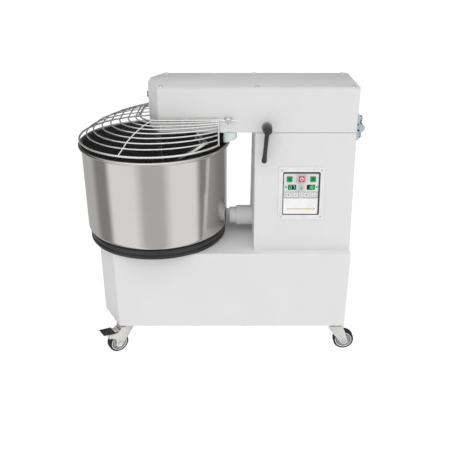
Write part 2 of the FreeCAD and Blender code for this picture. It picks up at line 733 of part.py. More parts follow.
def wire_bar(path, radius):
    first = path.Edges[0]
    start = first.valueAt(first.FirstParameter)
    tangent = first.tangentAt(first.FirstParameter)
    return path.makePipeShell([Part.Wire(Part.makeCircle(radius, start, tangent))], True, False)


def radial_bar(paths, foot_x, foot_y, top_x, top_y, radius):
    """Stiffening bar bent to lie on every wire where a vertical plane crosses them."""
    blade = Part.makePolygon([V(foot_x, foot_y, 690), V(top_x, top_y, 690), V(top_x, top_y, 790),
                              V(foot_x, foot_y, 790), V(foot_x, foot_y, 690)])
    plane = Part.Face(blade)
    points = [path.section(plane).Vertexes[0].Point for path in paths]
    pieces = [Part.makeSphere(radius, p) for p in points]
    pieces += [cyl(radius, a, b) for a, b in zip(points[:-1], points[1:])]
    return pieces


def guard():
    """Welded wire guard over the bowl, hung on the pivot pins by a boss on each side."""
    paths = [ring_path(*ring[:4]) for ring in GUARD_RINGS]
    wires = [wire_bar(path, ring[4]) for path, ring in zip(paths, GUARD_RINGS)]
    end_x = BOWL_X + GUARD_END_X
    pieces = []
    for side in (-1, 1):
        y = side * GUARD_END_Y
        end_top = V(end_x, y, GUARD_RINGS[-1][0])
        pieces.append(cyl(2.7, V(end_x, y, GUARD_RINGS[0][0] - 1), end_top))
        pieces.append(Part.makeSphere(3.4, V(end_x, y, GUARD_RINGS[0][0])))
        pieces.append(Part.makeSphere(2.8, end_top))
        boss_y = side * 117.0
        pieces.append(cyl(2.4, end_top, V(GUARD_PIVOT_X - 6, boss_y, GUARD_PIVOT_Z)))
        pieces.append(along(2.4, boss_y, GUARD_PIVOT_Z, GUARD_PIVOT_X - 7, GUARD_PIVOT_X + 25))
        pieces.append(across(8.5, GUARD_PIVOT_X, GUARD_PIVOT_Z, side * 117.0 - 7, side * 117.0 + 7))
        pieces += radial_bar(paths, BOWL_X - 85, side * 220, BOWL_X + 15.5, side * 106, 2.0)
    cage = wires[0].multiFuse(wires[1:] + pieces)
    bore = across(5.0 + RUNNING, GUARD_PIVOT_X, GUARD_PIVOT_Z, -140, 140)
    return cage.cut(bore)


# ---------------------------------------------------------------- clamp
def clamp_lever():
    hub_y0, hub_y1 = -146.0, -121.0
    lean = math.radians(4.4)
    reach = 93.0
    y = -135.0
    foot = V(LEVER_X - reach * math.sin(lean), y, LEVER_Z - reach * math.cos(lean))
    hub = across(13.0, LEVER_X, LEVER_Z, hub_y0, hub_y1)
    hub = hub.makeFillet(2.0, [e for e in hub.Edges if e.Closed])
    direction = foot - V(LEVER_X, y, LEVER_Z)
    arm = Part.makeCone(7.5, 6.2, direction.Length - 8, V(LEVER_X, y, LEVER_Z), direction)
    grip = Part.makeCone(6.4, 8.2, 22, foot - direction * (20 / direction.Length), direction)
    return fuse(hub, arm, grip, Part.makeSphere(8.2, foot)).cut(
        across(8.0, LEVER_X, LEVER_Z, -140, -118))


def clamp_spindle():
    """Threaded spindle through the boss; its washer grips the column's fork from behind."""
    return fuse(across(8.0, LEVER_X, LEVER_Z, -140, -88), across(14.0, LEVER_X, LEVER_Z, -94.4, -89))


# ---------------------------------------------------------------- panel
def panel_bezel(screws):
    plate = box(-BEZEL_W / 2, BEZEL_W / 2, -BEZEL_H / 2, BEZEL_H / 2, 0, BEZEL_T)
    plate = plate.makeFillet(4.0, [e for e in plate.Edges if abs(e.Length - BEZEL_T) < 0.01])
    window = box(-INSET_W / 2 - 0.2, INSET_W / 2 + 0.2, -INSET_H / 2 - 0.2, INSET_H / 2 + 0.2, -1, BEZEL_T + 1)
    return on_panel(plate.cut(window)).cut(group(screws))


def key_pocket(x, y, size):
    half = size / 2 + 0.4
    return box(x - half, x + half, y - half, y + half, -4.0, 10)


def panel_plate():
    plate = box(-INSET_W / 2, INSET_W / 2, -INSET_H / 2, INSET_H / 2, -6, 3)
    pockets = [key_pocket(x, LARGE_KEY_Y, LARGE_KEY) for _, x in LARGE_KEYS]
    pockets += [key_pocket(x, SMALL_KEY_Y, SMALL_KEY) for _, x in SMALL_KEYS]
    pockets += [box(x - 11.5, x + 11.5, DISPLAY_Y - 7.3, DISPLAY_Y + 7.3, 1.5, 4) for x in DISPLAYS]
    pockets += [Part.makeCylinder(3.0, 4, V(x, y, 1.5)) for x, y in LEDS]
    return on_panel(plate.cut(group(pockets)))


def panel_indicators():
    """Two timer displays and three signal lamps."""
    windows = [box(x - 11.5, x + 11.5, DISPLAY_Y - 7.3, DISPLAY_Y + 7.3, 1.5, 3.3) for x in DISPLAYS]
    lamps = [fuse(Part.makeCylinder(3.0, 2.0, V(x, y, 1.5)), dome(3.0, 1.2, V(x, y, 3.5), Z_DIR))
             for x, y in LEDS]
    return on_panel(group(windows + lamps))


def key(x, y, size):
    half = size / 2
    cap = box(x - half, x + half, y - half, y + half, -2.5, 4.6)
    cap = cap.makeFillet(1.5, [e for e in cap.Edges if abs(e.Length - 7.1) < 0.01])
    return on_panel(cap)


# ---------------------------------------------------------------- casters
PLATE_Z0 = BASE_Z0 - 3.0
RACE_Z0 = PLATE_Z0 - 6.0
CROWN_Z1 = RACE_Z0 - 0.5
CROWN_Z0 = CROWN_Z1 - 4.5
KING_PIN_R = 5.0
AXLE_R = 4.0
CASTER_BOLT_R = 2.5
CASTER_BOLT_FLAT = 8.0
LEG_INNER_Y = 15.0
LEG_T = 2.5
BRAKE_X = CASTER_TRAIL + 26.0     # the brake's cross pin, from the swivel axis
BRAKE_Z = 76.0
BRAKE_PIN_R = 3.0
BRAKE_LOBE_R = 7.5


def caster_bolt_points(x, y):
    return [(x + dx, y + dy) for dx in (-15, 15) for dy in (-18, 18)]


def caster_plate(x, y):
    """Top plate, bearing race and king pin of one caster."""
    plate = box(x - 22, x + 22, y - 25, y + 25, PLATE_Z0, BASE_Z0)
    plate = plate.makeFillet(6.0, [e for e in plate.Edges if abs(e.Length - 3.0) < 0.01])
    holes = [upright(CASTER_BOLT_R, px, py, PLATE_Z0 - 1, BASE_Z0 + 1)
             for px, py in caster_bolt_points(x, y)]
    race = Part.makeCone(14.5, 17.8, PLATE_Z0 - RACE_Z0, V(x, y, RACE_Z0), Z_DIR)
    pin = upright(KING_PIN_R, x, y, CROWN_Z0 - 3, PLATE_Z0 + 1)
    pin_head = upright(8.5, x, y, CROWN_Z0 - 5, CROWN_Z0 - 0.5)
    return fuse(plate.cut(group(holes)), race, pin, pin_head)


def caster_bolts(x, y):
    bolts = []
    for px, py in caster_bolt_points(x, y):
        shank = upright(CASTER_BOLT_R, px, py, PLATE_Z0 - 2, BASE_Z0 + 3)
        head = hexagon(CASTER_BOLT_FLAT, 4.0, V(px, py, PLATE_Z0 - 4), Z_DIR)
        nut = hexagon(CASTER_BOLT_FLAT, 5.0, V(px, py, BASE_Z0 + 3), Z_DIR)
        bolts.append(fuse(shank, head, nut))
    return bolts


def caster_holes():
    points = [p for _, x, side, _, _ in CASTERS for p in caster_bolt_points(x, side * CASTER_Y)]
    return [upright(CASTER_BOLT_R, px, py, BASE_Z0 - 5, BASE_Z0 + 3) for px, py in points]


def place_caster(shape, x, y, direction):
    """Turn a shape modelled with its wheel trailing along +X and set it under its swivel."""
    shape.rotate(V(0, 0, 0), Z_DIR, direction)
    shape.translate(V(x, y, 0))
    return shape


def fork_leg(side, braked):
    """One leg of the fork; with a brake it has a lobe that holds the pedal's cross pin."""
    front = -21.0
    rear = 24.0
    axle_end_r = 13.0
    profile = [V(front, 0, 88), V(front, 0, CROWN_Z1 - 2), V(front + 2, 0, CROWN_Z1), V(rear, 0, CROWN_Z1),
               V(rear, 0, 90)]
    if braked:
        profile += [V(rear + 13, 0, 80.5), V(BRAKE_X - 8, 0, 80.5), V(BRAKE_X, 0, BRAKE_Z),
                    V(BRAKE_X + 2, 0, BRAKE_Z - BRAKE_LOBE_R + 0.5), V(CASTER_TRAIL + 10, 0, 52)]
    else:
        profile += [V(CASTER_TRAIL + 0.7, 0, 75), V(CASTER_TRAIL + 10, 0, 46)]
    profile += [V(CASTER_TRAIL + axle_end_r, 0, AXLE_Z), V(CASTER_TRAIL, 0, AXLE_Z),
                V(CASTER_TRAIL - 10.4, 0, AXLE_Z - 7.8), V(CASTER_TRAIL - 36, 0, 64)]
    pieces = [prism(profile, V(0, LEG_T, 0)), across(axle_end_r, CASTER_TRAIL, AXLE_Z, 0, LEG_T)]
    if braked:
        pieces.append(across(BRAKE_LOBE_R, BRAKE_X, BRAKE_Z, 0, LEG_T))
    leg = fuse(*pieces)
    if braked:
        leg = leg.cut(across(BRAKE_PIN_R + RUNNING, BRAKE_X, BRAKE_Z, -1, LEG_T + 1))
    leg.translate(V(0, LEG_INNER_Y if side > 0 else -LEG_INNER_Y - LEG_T, 0))
    return leg


def caster_fork(braked):
    """Pressed-steel fork with the wheel's axle bolt."""
    outer_y = LEG_INNER_Y + LEG_T
    crown = box(-21, 24, -outer_y, outer_y, CROWN_Z0, CROWN_Z1)
    crown = crown.makeFillet(2.0, [e for e in crown.Edges if abs(e.Length - 4.5) < 0.01])
    crown = crown.cut(upright(KING_PIN_R + RUNNING, 0, 0, CROWN_Z0 - 1, CROWN_Z1 + 1))
    axle = across(AXLE_R, CASTER_TRAIL, AXLE_Z, -19, 19)
    ends = [hexagon(12.0, 4.5, V(CASTER_TRAIL, side * outer_y, AXLE_Z), V(0, side, 0)) for side in (-1, 1)]
    return fuse(crown, axle, fork_leg(-1, braked), fork_leg(1, braked), *ends)


def caster_wheel():
    """Rubber tyre bonded to its hub, with a bore for the axle."""
    half = 12.0
    bore = AXLE_R + RUNNING
    points = [V(bore, -13, 0), V(10, -13, 0), V(10, -8, 0), V(21, -8, 0), V(22.5, -11.5, 0),
              V(28, -half, 0), V(32.3, -11, 0), V(WHEEL_R, -8.5, 0), V(WHEEL_R, 8.5, 0), V(32.3, 11, 0),
              V(28, half, 0), V(22.5, 11.5, 0), V(21, 8, 0), V(10, 8, 0), V(10, 13, 0), V(bore, 13, 0)]
    wheel = revolve_profile(points, V(0, 0, 0), Y_DIR)
    wheel.translate(V(CASTER_TRAIL, 0, AXLE_Z))
    return wheel


def brake_pedal():
    """Foot plate with its tongue, lever and shoe on a cross pin between the fork's legs."""
    inner = CASTER_TRAIL + 14
    outer = CASTER_TRAIL + 54
    root = CASTER_TRAIL - 5
    plate = prism([V(inner, -19, 83), V(inner, -19, 86), V(outer, -19, 91), V(outer, -19, 88)], V(0, 38, 0))
    tongue = prism([V(root, -13, 81), V(root, -13, 83.4), V(inner + 6, -13, 86.4), V(inner + 6, -13, 84)],
                   V(0, 26, 0))
    lever = prism([V(BRAKE_X - 6, -11, BRAKE_Z), V(BRAKE_X - 8, -11, 84), V(BRAKE_X + 16, -11, 87),
                   V(BRAKE_X + 6, -11, BRAKE_Z)], V(0, 22, 0))
    shoe = prism([V(BRAKE_X - 5, -9, BRAKE_Z), V(BRAKE_X + 5, -9, BRAKE_Z), V(BRAKE_X + 5.5, -9, 61),
                  V(BRAKE_X + 2, -9, 62)], V(0, 18, 0))
    hub = across(6.0, BRAKE_X, BRAKE_Z, -11, 11)
    pin = across(BRAKE_PIN_R, BRAKE_X, BRAKE_Z, -18.5, 18.5)
    return fuse(plate, tongue, lever, shoe, hub, pin)


# ---------------------------------------------------------------- build
def build_base():
    screws = [casing_screw(seat, X_DIR) for seat in rear_screw_seats()]
    bezel_screws = []
    for x, y in BEZEL_SCREWS:
        seat = panel_placement().multVec(V(x, y, BEZEL_T))
        out = panel_placement().Rotation.multVec(Z_DIR)
        bezel_screws.append(casing_screw(seat, out, BEZEL_T))
    lower_bolts = hinge_bolts(LOWER_BOLT_Z, LEAF_X1 - BACK_X)
    save("base_casing", base_casing())
    save("base_floor_plate", base_floor_plate(caster_holes()))
    save("column_casing", column_casing())
    save("rear_cover", rear_cover(screws, lower_bolts))
    save("casing_screws", group(screws + bezel_screws))
    save("cable_gland", cable_gland())
    save("hinge_lower_leaf", hinge_lower_leaf(lower_bolts))
    save("hinge_bolts_lower", group(lower_bolts))
    save("panel_bezel", panel_bezel(bezel_screws))
    save("panel_plate", panel_plate())
    save("panel_indicators", panel_indicators())
    save("thrust_tube", thrust_tube())
    save("thrust_pad", thrust_pad())
    save("bowl_bearing_housing", bowl_bearing_housing())
    save("gearmotor", gearmotor())
    save("base_belt", base_belt())
    save("caster_plates", group(caster_plate(x, side * CASTER_Y) for _, x, side, _, _ in CASTERS))
    bolts = []
    for _, x, side, _, _ in CASTERS:
        bolts += caster_bolts(x, side * CASTER_Y)
    save("caster_bolts", group(bolts))
    for name, x in LARGE_KEYS:
        save(name, key(x, LARGE_KEY_Y, LARGE_KEY))
    for name, x in SMALL_KEYS:
        save(name, key(x, SMALL_KEY_Y, SMALL_KEY))


def build_bowl():
    save("bowl", bowl())
    save("bowl_ring", bowl_ring())
    save("turntable", turntable())
    save("bowl_pulley", bowl_pulley())


def build_head():
    screws = [head_cover_screw(seat) for seat in head_screw_seats()]
    upper_bolts = hinge_bolts(UPPER_BOLT_Z, LEAF_X1 - BACK_X - COVER_T + SHEET)
    side_holes = [across(9.0, LEVER_X, LEVER_Z, -110, -100), tension_bolt()]
    save("head_casing", head_casing(side_holes, upper_bolts))
    save("head_cover", head_cover(screws))
    save("head_cover_screws", group(screws))
    save("hinge_upper_leaf", hinge_upper_leaf(upper_bolts))
    save("hinge_bolts_upper", group(upper_bolts))
    save("tension_bolt", tension_bolt())
    save("head_bearing_housings", head_bearing_housings())
    save("head_belt", head_belt())
    save("breaker_bar", breaker_bar())
    save("lever_boss", lever_boss())
    save("guard_pivot_pins", guard_pivot_pins())
    save("rim_pad_front", rim_pad(-1))
    save("rim_pad_rear", rim_pad(1))
    save("guard", guard())
    save("clamp_lever", clamp_lever())
    save("clamp_spindle", clamp_spindle())


def build_drive():
    save("drive_shaft", drive_shaft())
    save("head_drive_hub", head_drive_hub())
    save("spiral_hook", spiral_hook())
    save("spiral_pulley", spiral_pulley())


def build_casters():
    for name, x, side, direction, braked in CASTERS:
        y = side * CASTER_Y
        save("caster_fork_" + name, place_caster(caster_fork(braked), x, y, direction))
        save("caster_wheel_" + name, place_caster(caster_wheel(), x, y, direction))
        if braked:
            save("brake_pedal_" + name, place_caster(brake_pedal(), x, y, direction))


os.makedirs("parts", exist_ok=True)
build_base()
build_bowl()
build_head()
build_drive()
build_casters()
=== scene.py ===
import json
from math import asin, copysign, cos, pi, radians, sin, sqrt, tan

import bmesh
import bpy
from mathutils import Matrix, Vector


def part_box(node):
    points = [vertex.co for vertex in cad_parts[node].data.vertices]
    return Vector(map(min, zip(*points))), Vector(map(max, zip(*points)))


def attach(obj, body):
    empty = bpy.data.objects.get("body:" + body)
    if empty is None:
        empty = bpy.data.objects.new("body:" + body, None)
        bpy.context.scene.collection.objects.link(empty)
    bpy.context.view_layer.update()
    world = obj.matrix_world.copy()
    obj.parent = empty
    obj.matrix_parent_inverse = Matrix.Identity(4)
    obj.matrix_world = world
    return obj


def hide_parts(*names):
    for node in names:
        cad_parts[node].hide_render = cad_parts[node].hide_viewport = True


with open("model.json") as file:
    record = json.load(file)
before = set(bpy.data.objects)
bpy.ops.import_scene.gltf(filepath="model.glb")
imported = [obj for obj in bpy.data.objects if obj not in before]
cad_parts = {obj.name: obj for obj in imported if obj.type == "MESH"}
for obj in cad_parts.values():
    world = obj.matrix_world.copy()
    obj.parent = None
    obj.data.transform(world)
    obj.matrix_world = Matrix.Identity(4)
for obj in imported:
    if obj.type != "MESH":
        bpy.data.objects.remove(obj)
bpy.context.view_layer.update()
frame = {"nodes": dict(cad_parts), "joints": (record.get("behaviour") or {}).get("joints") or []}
NODES = frame["nodes"]

# ---- places read from the frame
MM = 0.001


def centre(node):
    low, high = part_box(node)
    return (low + high) / 2


def joint(name):
    return next(j for j in frame["joints"] if j["name"] == name)


BOWL_X = centre("bowl").x
BOWL_R = 225.35 * MM
RIM_R = 230.0 * MM
BEAD_R = 5.0 * MM
BOWL_LOW, BOWL_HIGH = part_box("bowl")
BASE_LOW, BASE_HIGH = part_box("base_casing")
COLUMN_LOW, COLUMN_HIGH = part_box("column_casing")
HEAD_LOW, HEAD_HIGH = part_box("head_casing")
COVER_LOW, COVER_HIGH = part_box("head_cover")
BACK_X = COLUMN_HIGH.x
PIVOT = Vector(joint("guard_lift")["pos_m"])
HINGE = Vector(joint("head_tilt")["pos_m"])
LEVER = Vector(joint("clamp_lever_turn")["pos_m"])


# ---- materials
def new_material(name):
    material = bpy.data.materials.new(name)
    material.use_nodes = True
    tree = material.node_tree
    return material, tree, tree.nodes["Principled BSDF"]


def mapping(tree, scale):
    """Object coordinates, so the detail stays on the piece as it moves."""
    coords = tree.nodes.new("ShaderNodeTexCoord")
    mapper = tree.nodes.new("ShaderNodeMapping")
    mapper.inputs["Scale"].default_value = scale
    tree.links.new(coords.outputs["Object"], mapper.inputs["Vector"])
    return mapper.outputs["Vector"]


def noise(tree, vector, scale, detail=4.0, roughness=0.55):
    node = tree.nodes.new("ShaderNodeTexNoise")
    node.inputs["Scale"].default_value = scale
    node.inputs["Detail"].default_value = detail
    node.inputs["Roughness"].default_value = roughness
    tree.links.new(vector, node.inputs["Vector"])
    return node.outputs["Fac"]


def ramp(tree, value, low, high, start=0.3, end=0.7):
    """Map a 0-1 value to the numbers low to high."""
    node = tree.nodes.new("ShaderNodeMapRange")
    node.inputs["From Min"].default_value = start
    node.inputs["From Max"].default_value = end
    node.inputs["To Min"].default_value = low
    node.inputs["To Max"].default_value = high
    tree.links.new(value, node.inputs["Value"])
    return node.outputs["Result"]


def tint(tree, value, dark, light, start=0.3, end=0.7):
    node = tree.nodes.new("ShaderNodeValToRGB")
    node.color_ramp.elements[0].position = start
    node.color_ramp.elements[0].color = (*dark, 1)
    node.color_ramp.elements[1].position = end
    node.color_ramp.elements[1].color = (*light, 1)
    tree.links.new(value, node.inputs["Fac"])
    return node.outputs["Color"]


def bump(tree, shader, height, strength, distance):
    node = tree.nodes.new("ShaderNodeBump")
    node.inputs["Strength"].default_value = strength
    node.inputs["Distance"].default_value = distance
    tree.links.new(height, node.inputs["Height"])
    tree.links.new(node.outputs["Normal"], shader.inputs["Normal"])


def painted(name, color, roughness=0.42, peel=0.10):
    """Powder coat: faint orange peel, slightly uneven gloss and a trace of tone."""
    material, tree, shader = new_material(name)
    vector = mapping(tree, (1, 1, 1))
    shader.inputs["Roughness"].default_value = roughness
    shader.inputs["Specular IOR Level"].default_value = 0.4
    fine = noise(tree, vector, 900.0, 3.0)
    cloud = noise(tree, vector, 9.0, 3.0)
    tree.links.new(ramp(tree, cloud, roughness - 0.05, roughness + 0.06), shader.inputs["Roughness"])
    dark = tuple(c * 0.975 for c in color)
    tree.links.new(tint(tree, cloud, dark, color), shader.inputs["Base Color"])
    bump(tree, shader, fine, peel, 0.00025)
    return material


def metal(name, color, roughness, grain_scale, grain=0.25, metallic=1.0, streak=0.08, distance=0.00006):
    """Bare or plated metal: stretched grain in the bump and the roughness, and faint tone."""
    material, tree, shader = new_material(name)
    shader.inputs["Metallic"].default_value = metallic
    vector = mapping(tree, grain_scale)
    lines = noise(tree, vector, 1.0, 5.0, 0.6)
    cloud = noise(tree, mapping(tree, (1, 1, 1)), 14.0, 3.0)
    mixed = tree.nodes.new("ShaderNodeMath")
    mixed.operation = "ADD"
    tree.links.new(lines, mixed.inputs[0])
    tree.links.new(cloud, mixed.inputs[1])
    span = roughness * 0.3
    tree.links.new(ramp(tree, mixed.outputs[0], roughness - span, roughness + span, 0.7, 1.3),
                   shader.inputs["Roughness"])
    dark = tuple(c * (1 - streak) for c in color)
    tree.links.new(tint(tree, lines, dark, color), shader.inputs["Base Color"])
    bump(tree, shader, lines, grain, distance)
    return material


def moulded(name, color, roughness=0.45, texture_scale=1400.0, grain=0.12, specular=0.5):
    """Moulded plastic or rubber with a fine tool texture."""
    material, tree, shader = new_material(name)
    vector = mapping(tree, (1, 1, 1))
    fine = noise(tree, vector, texture_scale, 3.0)
    cloud = noise(tree, vector, 40.0, 3.0)
    shader.inputs["Specular IOR Level"].default_value = specular
    tree.links.new(ramp(tree, cloud, roughness - 0.06, roughness + 0.07), shader.inputs["Roughness"])
    light = tuple(min(1.0, c * 1.12 + 0.004) for c in color)
    tree.links.new(tint(tree, cloud, color, light), shader.inputs["Base Color"])
    bump(tree, shader, fine, grain, 0.0002)
    return material


def glowing(name, color, strength):
    material, tree, shader = new_material(name)
    vector = mapping(tree, (1, 1, 1))
    grain = noise(tree, vector, 2500.0, 2.0)
    tree.links.new(tint(tree, grain, tuple(c * 0.8 for c in color), color), shader.inputs["Base Color"])
    shader.inputs["Emission Color"].default_value = (*color, 1)
    shader.inputs["Emission Strength"].default_value = strength
    shader.inputs["Roughness"].default_value = 0.3
    return material


PAINT = painted("white_powder_coat", (0.80, 0.80, 0.80))
BOWL_STEEL = metal("bowl_spun_steel", (0.66, 0.64, 0.62), 0.13, (6, 6, 900), 0.06, streak=0.05)
# Inside of the bowl: the same spun steel as the outside, with its colour darkened as a painted dark
# reflection.
BOWL_INNER_SHADED_STEEL = metal("bowl_inner_steel_painted_shade", (0.155, 0.155, 0.158), 0.28, (6, 6, 700), 0.10, 0.6)
WIRE = metal("guard_wire_steel", (0.84, 0.84, 0.83), 0.24, (120, 120, 120), 0.03, 0.75, streak=0.04)
TOOL_STEEL = metal("tool_polished_steel", (0.86, 0.86, 0.85), 0.15, (60, 60, 500), 0.05)
# Breaker bar: steel with a duller gloss, its colour darkened as a painted dark reflection of the bowl round
# it.
BREAKER_SHADED_STEEL = metal("breaker_steel_painted_shade", (0.42, 0.42, 0.42), 0.34, (60, 60, 500), 0.10)
ZINC = metal("bright_zinc", (0.58, 0.65, 0.69), 0.32, (300, 300, 300), 0.15, 0.5, streak=0.12)
MACHINED = metal("machined_steel", (0.48, 0.48, 0.49), 0.30, (40, 40, 1500), 0.2)
FORK_ZINC = metal("zinc_pressed_steel", (0.78, 0.76, 0.73), 0.45, (120, 120, 120), 0.12, 0.35, streak=0.08)
BOLT_STEEL = metal("bolt_zinc_blue", (0.36, 0.45, 0.48), 0.30, (500, 500, 500), 0.15, streak=0.14)
SCREW_STEEL = metal("screw_bright_steel", (0.80, 0.80, 0.81), 0.28, (700, 700, 700), 0.10, streak=0.10)
AXLE_ZINC = metal("axle_zinc", (0.80, 0.79, 0.77), 0.30, (500, 500, 500), 0.12, streak=0.10)
CAST = painted("motor_cast_paint", (0.13, 0.16, 0.20), 0.5, 0.6)
BLACK_NYLON = moulded("black_nylon", (0.018, 0.018, 0.020), 0.38)
BLACK_GRIP = moulded("black_grip", (0.026, 0.026, 0.028), 0.26, 900.0, 0.05)
WHITE_NYLON = moulded("white_nylon", (0.70, 0.76, 0.74), 0.40)
TYRE = moulded("tyre_rubber", (0.020, 0.020, 0.022), 0.66, 1100.0, 0.3, 0.25)
HUB_GREY = moulded("hub_grey_nylon", (0.40, 0.41, 0.43), 0.44)
RIM_GREY = moulded("wheel_rim_grey", (0.66, 0.67, 0.68), 0.40)
BOSS_GREY = moulded("boss_grey", (0.20, 0.20, 0.205), 0.45)
PAD_GREY = moulded("thrust_pad_nylon", (0.74, 0.745, 0.75), 0.42)
BELT = moulded("belt_rubber", (0.020, 0.020, 0.020), 0.7, 900.0, 0.35)
PANEL_FRAME = moulded("panel_frame", (0.80, 0.80, 0.805), 0.38)
FOIL_GREY = moulded("foil_grey", (0.54, 0.54, 0.57), 0.34)
FOIL_WHITE = moulded("foil_white", (0.88, 0.88, 0.885), 0.34)
FOIL_LIGHT = moulded("foil_light_grey", (0.74, 0.74, 0.76), 0.34)
FOIL_LINE = moulded("foil_line", (0.30, 0.30, 0.32), 0.4)
FOIL_GOLD = moulded("foil_gold", (0.66, 0.53, 0.20), 0.36)
# Dark border round the foil; its extra width at the right and the top is painted shadow.
PANEL_DARK_BORDER = moulded("panel_dark_border", (0.035, 0.035, 0.038), 0.5)
GLASS_DARK = moulded("display_dark", (0.010, 0.014, 0.012), 0.12, 600.0, 0.02)
DIGIT = glowing("display_digit", (0.05, 0.75, 0.22), 0.55)
LED = glowing("led_green", (0.010, 0.55, 0.12), 0.20)
KEY_GREEN = moulded("key_green", (0.004, 0.31, 0.085), 0.46, specular=0.2)
KEY_GREEN_MARK = moulded("key_green_mark", (0.003, 0.09, 0.03), 0.46, specular=0.2)
KEY_RED = moulded("key_red", (0.70, 0.028, 0.028), 0.46, specular=0.2)
KEY_WHITE_MARK = moulded("key_white_mark", (0.85, 0.83, 0.82), 0.4)
KEY_GREY = moulded("key_grey", (0.74, 0.74, 0.75), 0.42)
KEY_GREY_MARK = moulded("key_grey_mark", (0.09, 0.09, 0.10), 0.4)


# ---- mesh helpers
ACROSS = Matrix.Rotation(radians(90), 4, "X")     # turns local Z to lie across a caster


def scaled(points):
    """Pairs of millimetres in metres."""
    return [(x * MM, y * MM) for x, y in points]


def bridge(bm, a, b):
    """Faces between two closed rings with the same number of vertices."""
    faces = []
    for i in range(len(a)):
        j = (i + 1) % len(a)
        faces.append(bm.faces.new((a[i], a[j], b[j], b[i])))
    return faces


def corner_curve(a, corner, b, steps):
    """Points of the curve that rounds a corner, from a to b."""
    points = []
    for i in range(steps + 1):
        t = i / steps
        points.append(tuple(a * (1 - t) ** 2 + corner * 2 * t * (1 - t) + b * t ** 2))
    return points


def finish_mesh(name, bm, material, body, replaces=(), angle=32.0):
    """Turn a bmesh into a piece that rides on a body."""
    bmesh.ops.remove_doubles(bm, verts=bm.verts, dist=1e-6)
    bmesh.ops.recalc_face_normals(bm, faces=bm.faces)
    mesh = bpy.data.meshes.new(name)
    bm.to_mesh(mesh)
    bm.free()
    mesh.shade_smooth()
    mesh.set_sharp_from_angle(angle=radians(angle))
    piece = bpy.data.objects.new(name, mesh)
    piece.data.materials.append(material)
    bpy.context.scene.collection.objects.link(piece)
    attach(piece, body)
    if replaces:
        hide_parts(*replaces)
    return piece


def frame_matrix(origin, normal, right=None):
    """Local Z along normal, local X along right."""
    z = Vector(normal).normalized()
    x = Vector(right) if right is not None else z.orthogonal()
    x = (x - z * x.dot(z)).normalized()
    y = z.cross(x)
    matrix = Matrix((x, y, z)).transposed().to_4x4()
    matrix.translation = Vector(origin)
    return matrix


def add_lathe(bm, profile, segments=96, matrix=Matrix.Identity(4), closed=False):
    """Revolve (radius, height) points about local Z."""
    rings = []
    for radius, height in profile:
        if radius < 1e-7:
            rings.append([bm.verts.new(matrix @ Vector((0, 0, height)))])
            continue
        ring = []
        for i in range(segments):
            turn = 2 * pi * i / segments
            point = Vector((radius * cos(turn), radius * sin(turn), height))
            ring.append(bm.verts.new(matrix @ point))
        rings.append(ring)
    pairs = list(zip(rings[:-1], rings[1:]))
    if closed:
        pairs.append((rings[-1], rings[0]))
    for a, b in pairs:
        for i in range(segments):
            j = (i + 1) % segments
            corners = []
            for vertex in (a[i % len(a)], a[j % len(a)], b[j % len(b)], b[i % len(b)]):
                if vertex not in corners:
                    corners.append(vertex)
            if len(corners) > 2:
                bm.faces.new(corners)
    return bm


def round_profile(points, radius, steps=5):
    """Round every inner corner of an open (r, z) line with a small arc."""
    result = [points[0]]
    for before, corner, after in zip(points[:-2], points[1:-1], points[2:]):
        p, c, q = Vector(before), Vector(corner), Vector(after)
        to_p, to_q = (p - c), (q - c)
        cut = min(radius, to_p.length * 0.45, to_q.length * 0.45)
        a = c + to_p.normalized() * cut
        b = c + to_q.normalized() * cut
        result += corner_curve(a, c, b, steps)
    result.append(points[-1])
    return result


def lathe_piece(name, profile, origin, axis, material, body, replaces=(), segments=96, rounding=0.0):
    bm = bmesh.new()
    points = round_profile(profile, rounding) if rounding else profile
    add_lathe(bm, points, segments, frame_matrix(origin, axis))
    return finish_mesh(name, bm, material, body, replaces)


def add_prism(bm, outline, z0, z1, matrix=Matrix.Identity(4), bevel=0.0, segments=3, keep=None):
    """Extrude a closed outline and round its edges; keep(edge) picks the edges to round."""
    low = [bm.verts.new(matrix @ Vector((x, y, z0))) for x, y in outline]
    high = [bm.verts.new(matrix @ Vector((x, y, z1))) for x, y in outline]
    faces = [bm.faces.new(low), bm.faces.new(high)]
    faces += bridge(bm, low, high)
    bmesh.ops.recalc_face_normals(bm, faces=faces)
    if bevel > 0:
        edges = {e for f in faces for e in f.edges}
        if keep is not None:
            edges = {e for e in edges if keep(e)}
        bmesh.ops.bevel(bm, geom=list(edges), offset=bevel, segments=segments, profile=0.5,
                        affect="EDGES", clamp_overlap=True)
    return bm


def rounded_rectangle(width, height, radius, steps=6):
    points = []
    for cx, cy, start in ((1, 1, 0), (-1, 1, 90), (-1, -1, 180), (1, -1, 270)):
        for i in range(steps + 1):
            turn = radians(start + 90 * i / steps)
            points.append((cx * (width / 2 - radius) + radius * cos(turn),
                           cy * (height / 2 - radius) + radius * sin(turn)))
    return points


def regular(sides, radius, start=0.0):
    """Corners of a regular polygon."""
    turns = [start + 2 * pi * i / sides for i in range(sides)]
    return [(radius * cos(turn), radius * sin(turn)) for turn in turns]


def add_frame(bm, outer, inner, z0, z1, matrix, bevel=0.0):
    """Flat frame between two outlines with the same number of points."""
    rows = []
    for outline, z in ((outer, z0), (outer, z1), (inner, z1), (inner, z0)):
        rows.append([bm.verts.new(matrix @ Vector((x, y, z))) for x, y in outline])
    faces = []
    for k in range(4):
        faces += bridge(bm, rows[k], rows[(k + 1) % 4])
    bmesh.ops.recalc_face_normals(bm, faces=faces)
    if bevel > 0:
        tops = set(rows[1]) | set(rows[2])
        edges = [e for f in faces for e in f.edges
                 if e.verts[0] in tops and e.verts[1] in tops
                 and (e.verts[0] in rows[1]) == (e.verts[1] in rows[1])]
        bmesh.ops.bevel(bm, geom=list(set(edges)), offset=bevel, segments=3, profile=0.5, affect="EDGES",
                        clamp_overlap=True)
    return bm


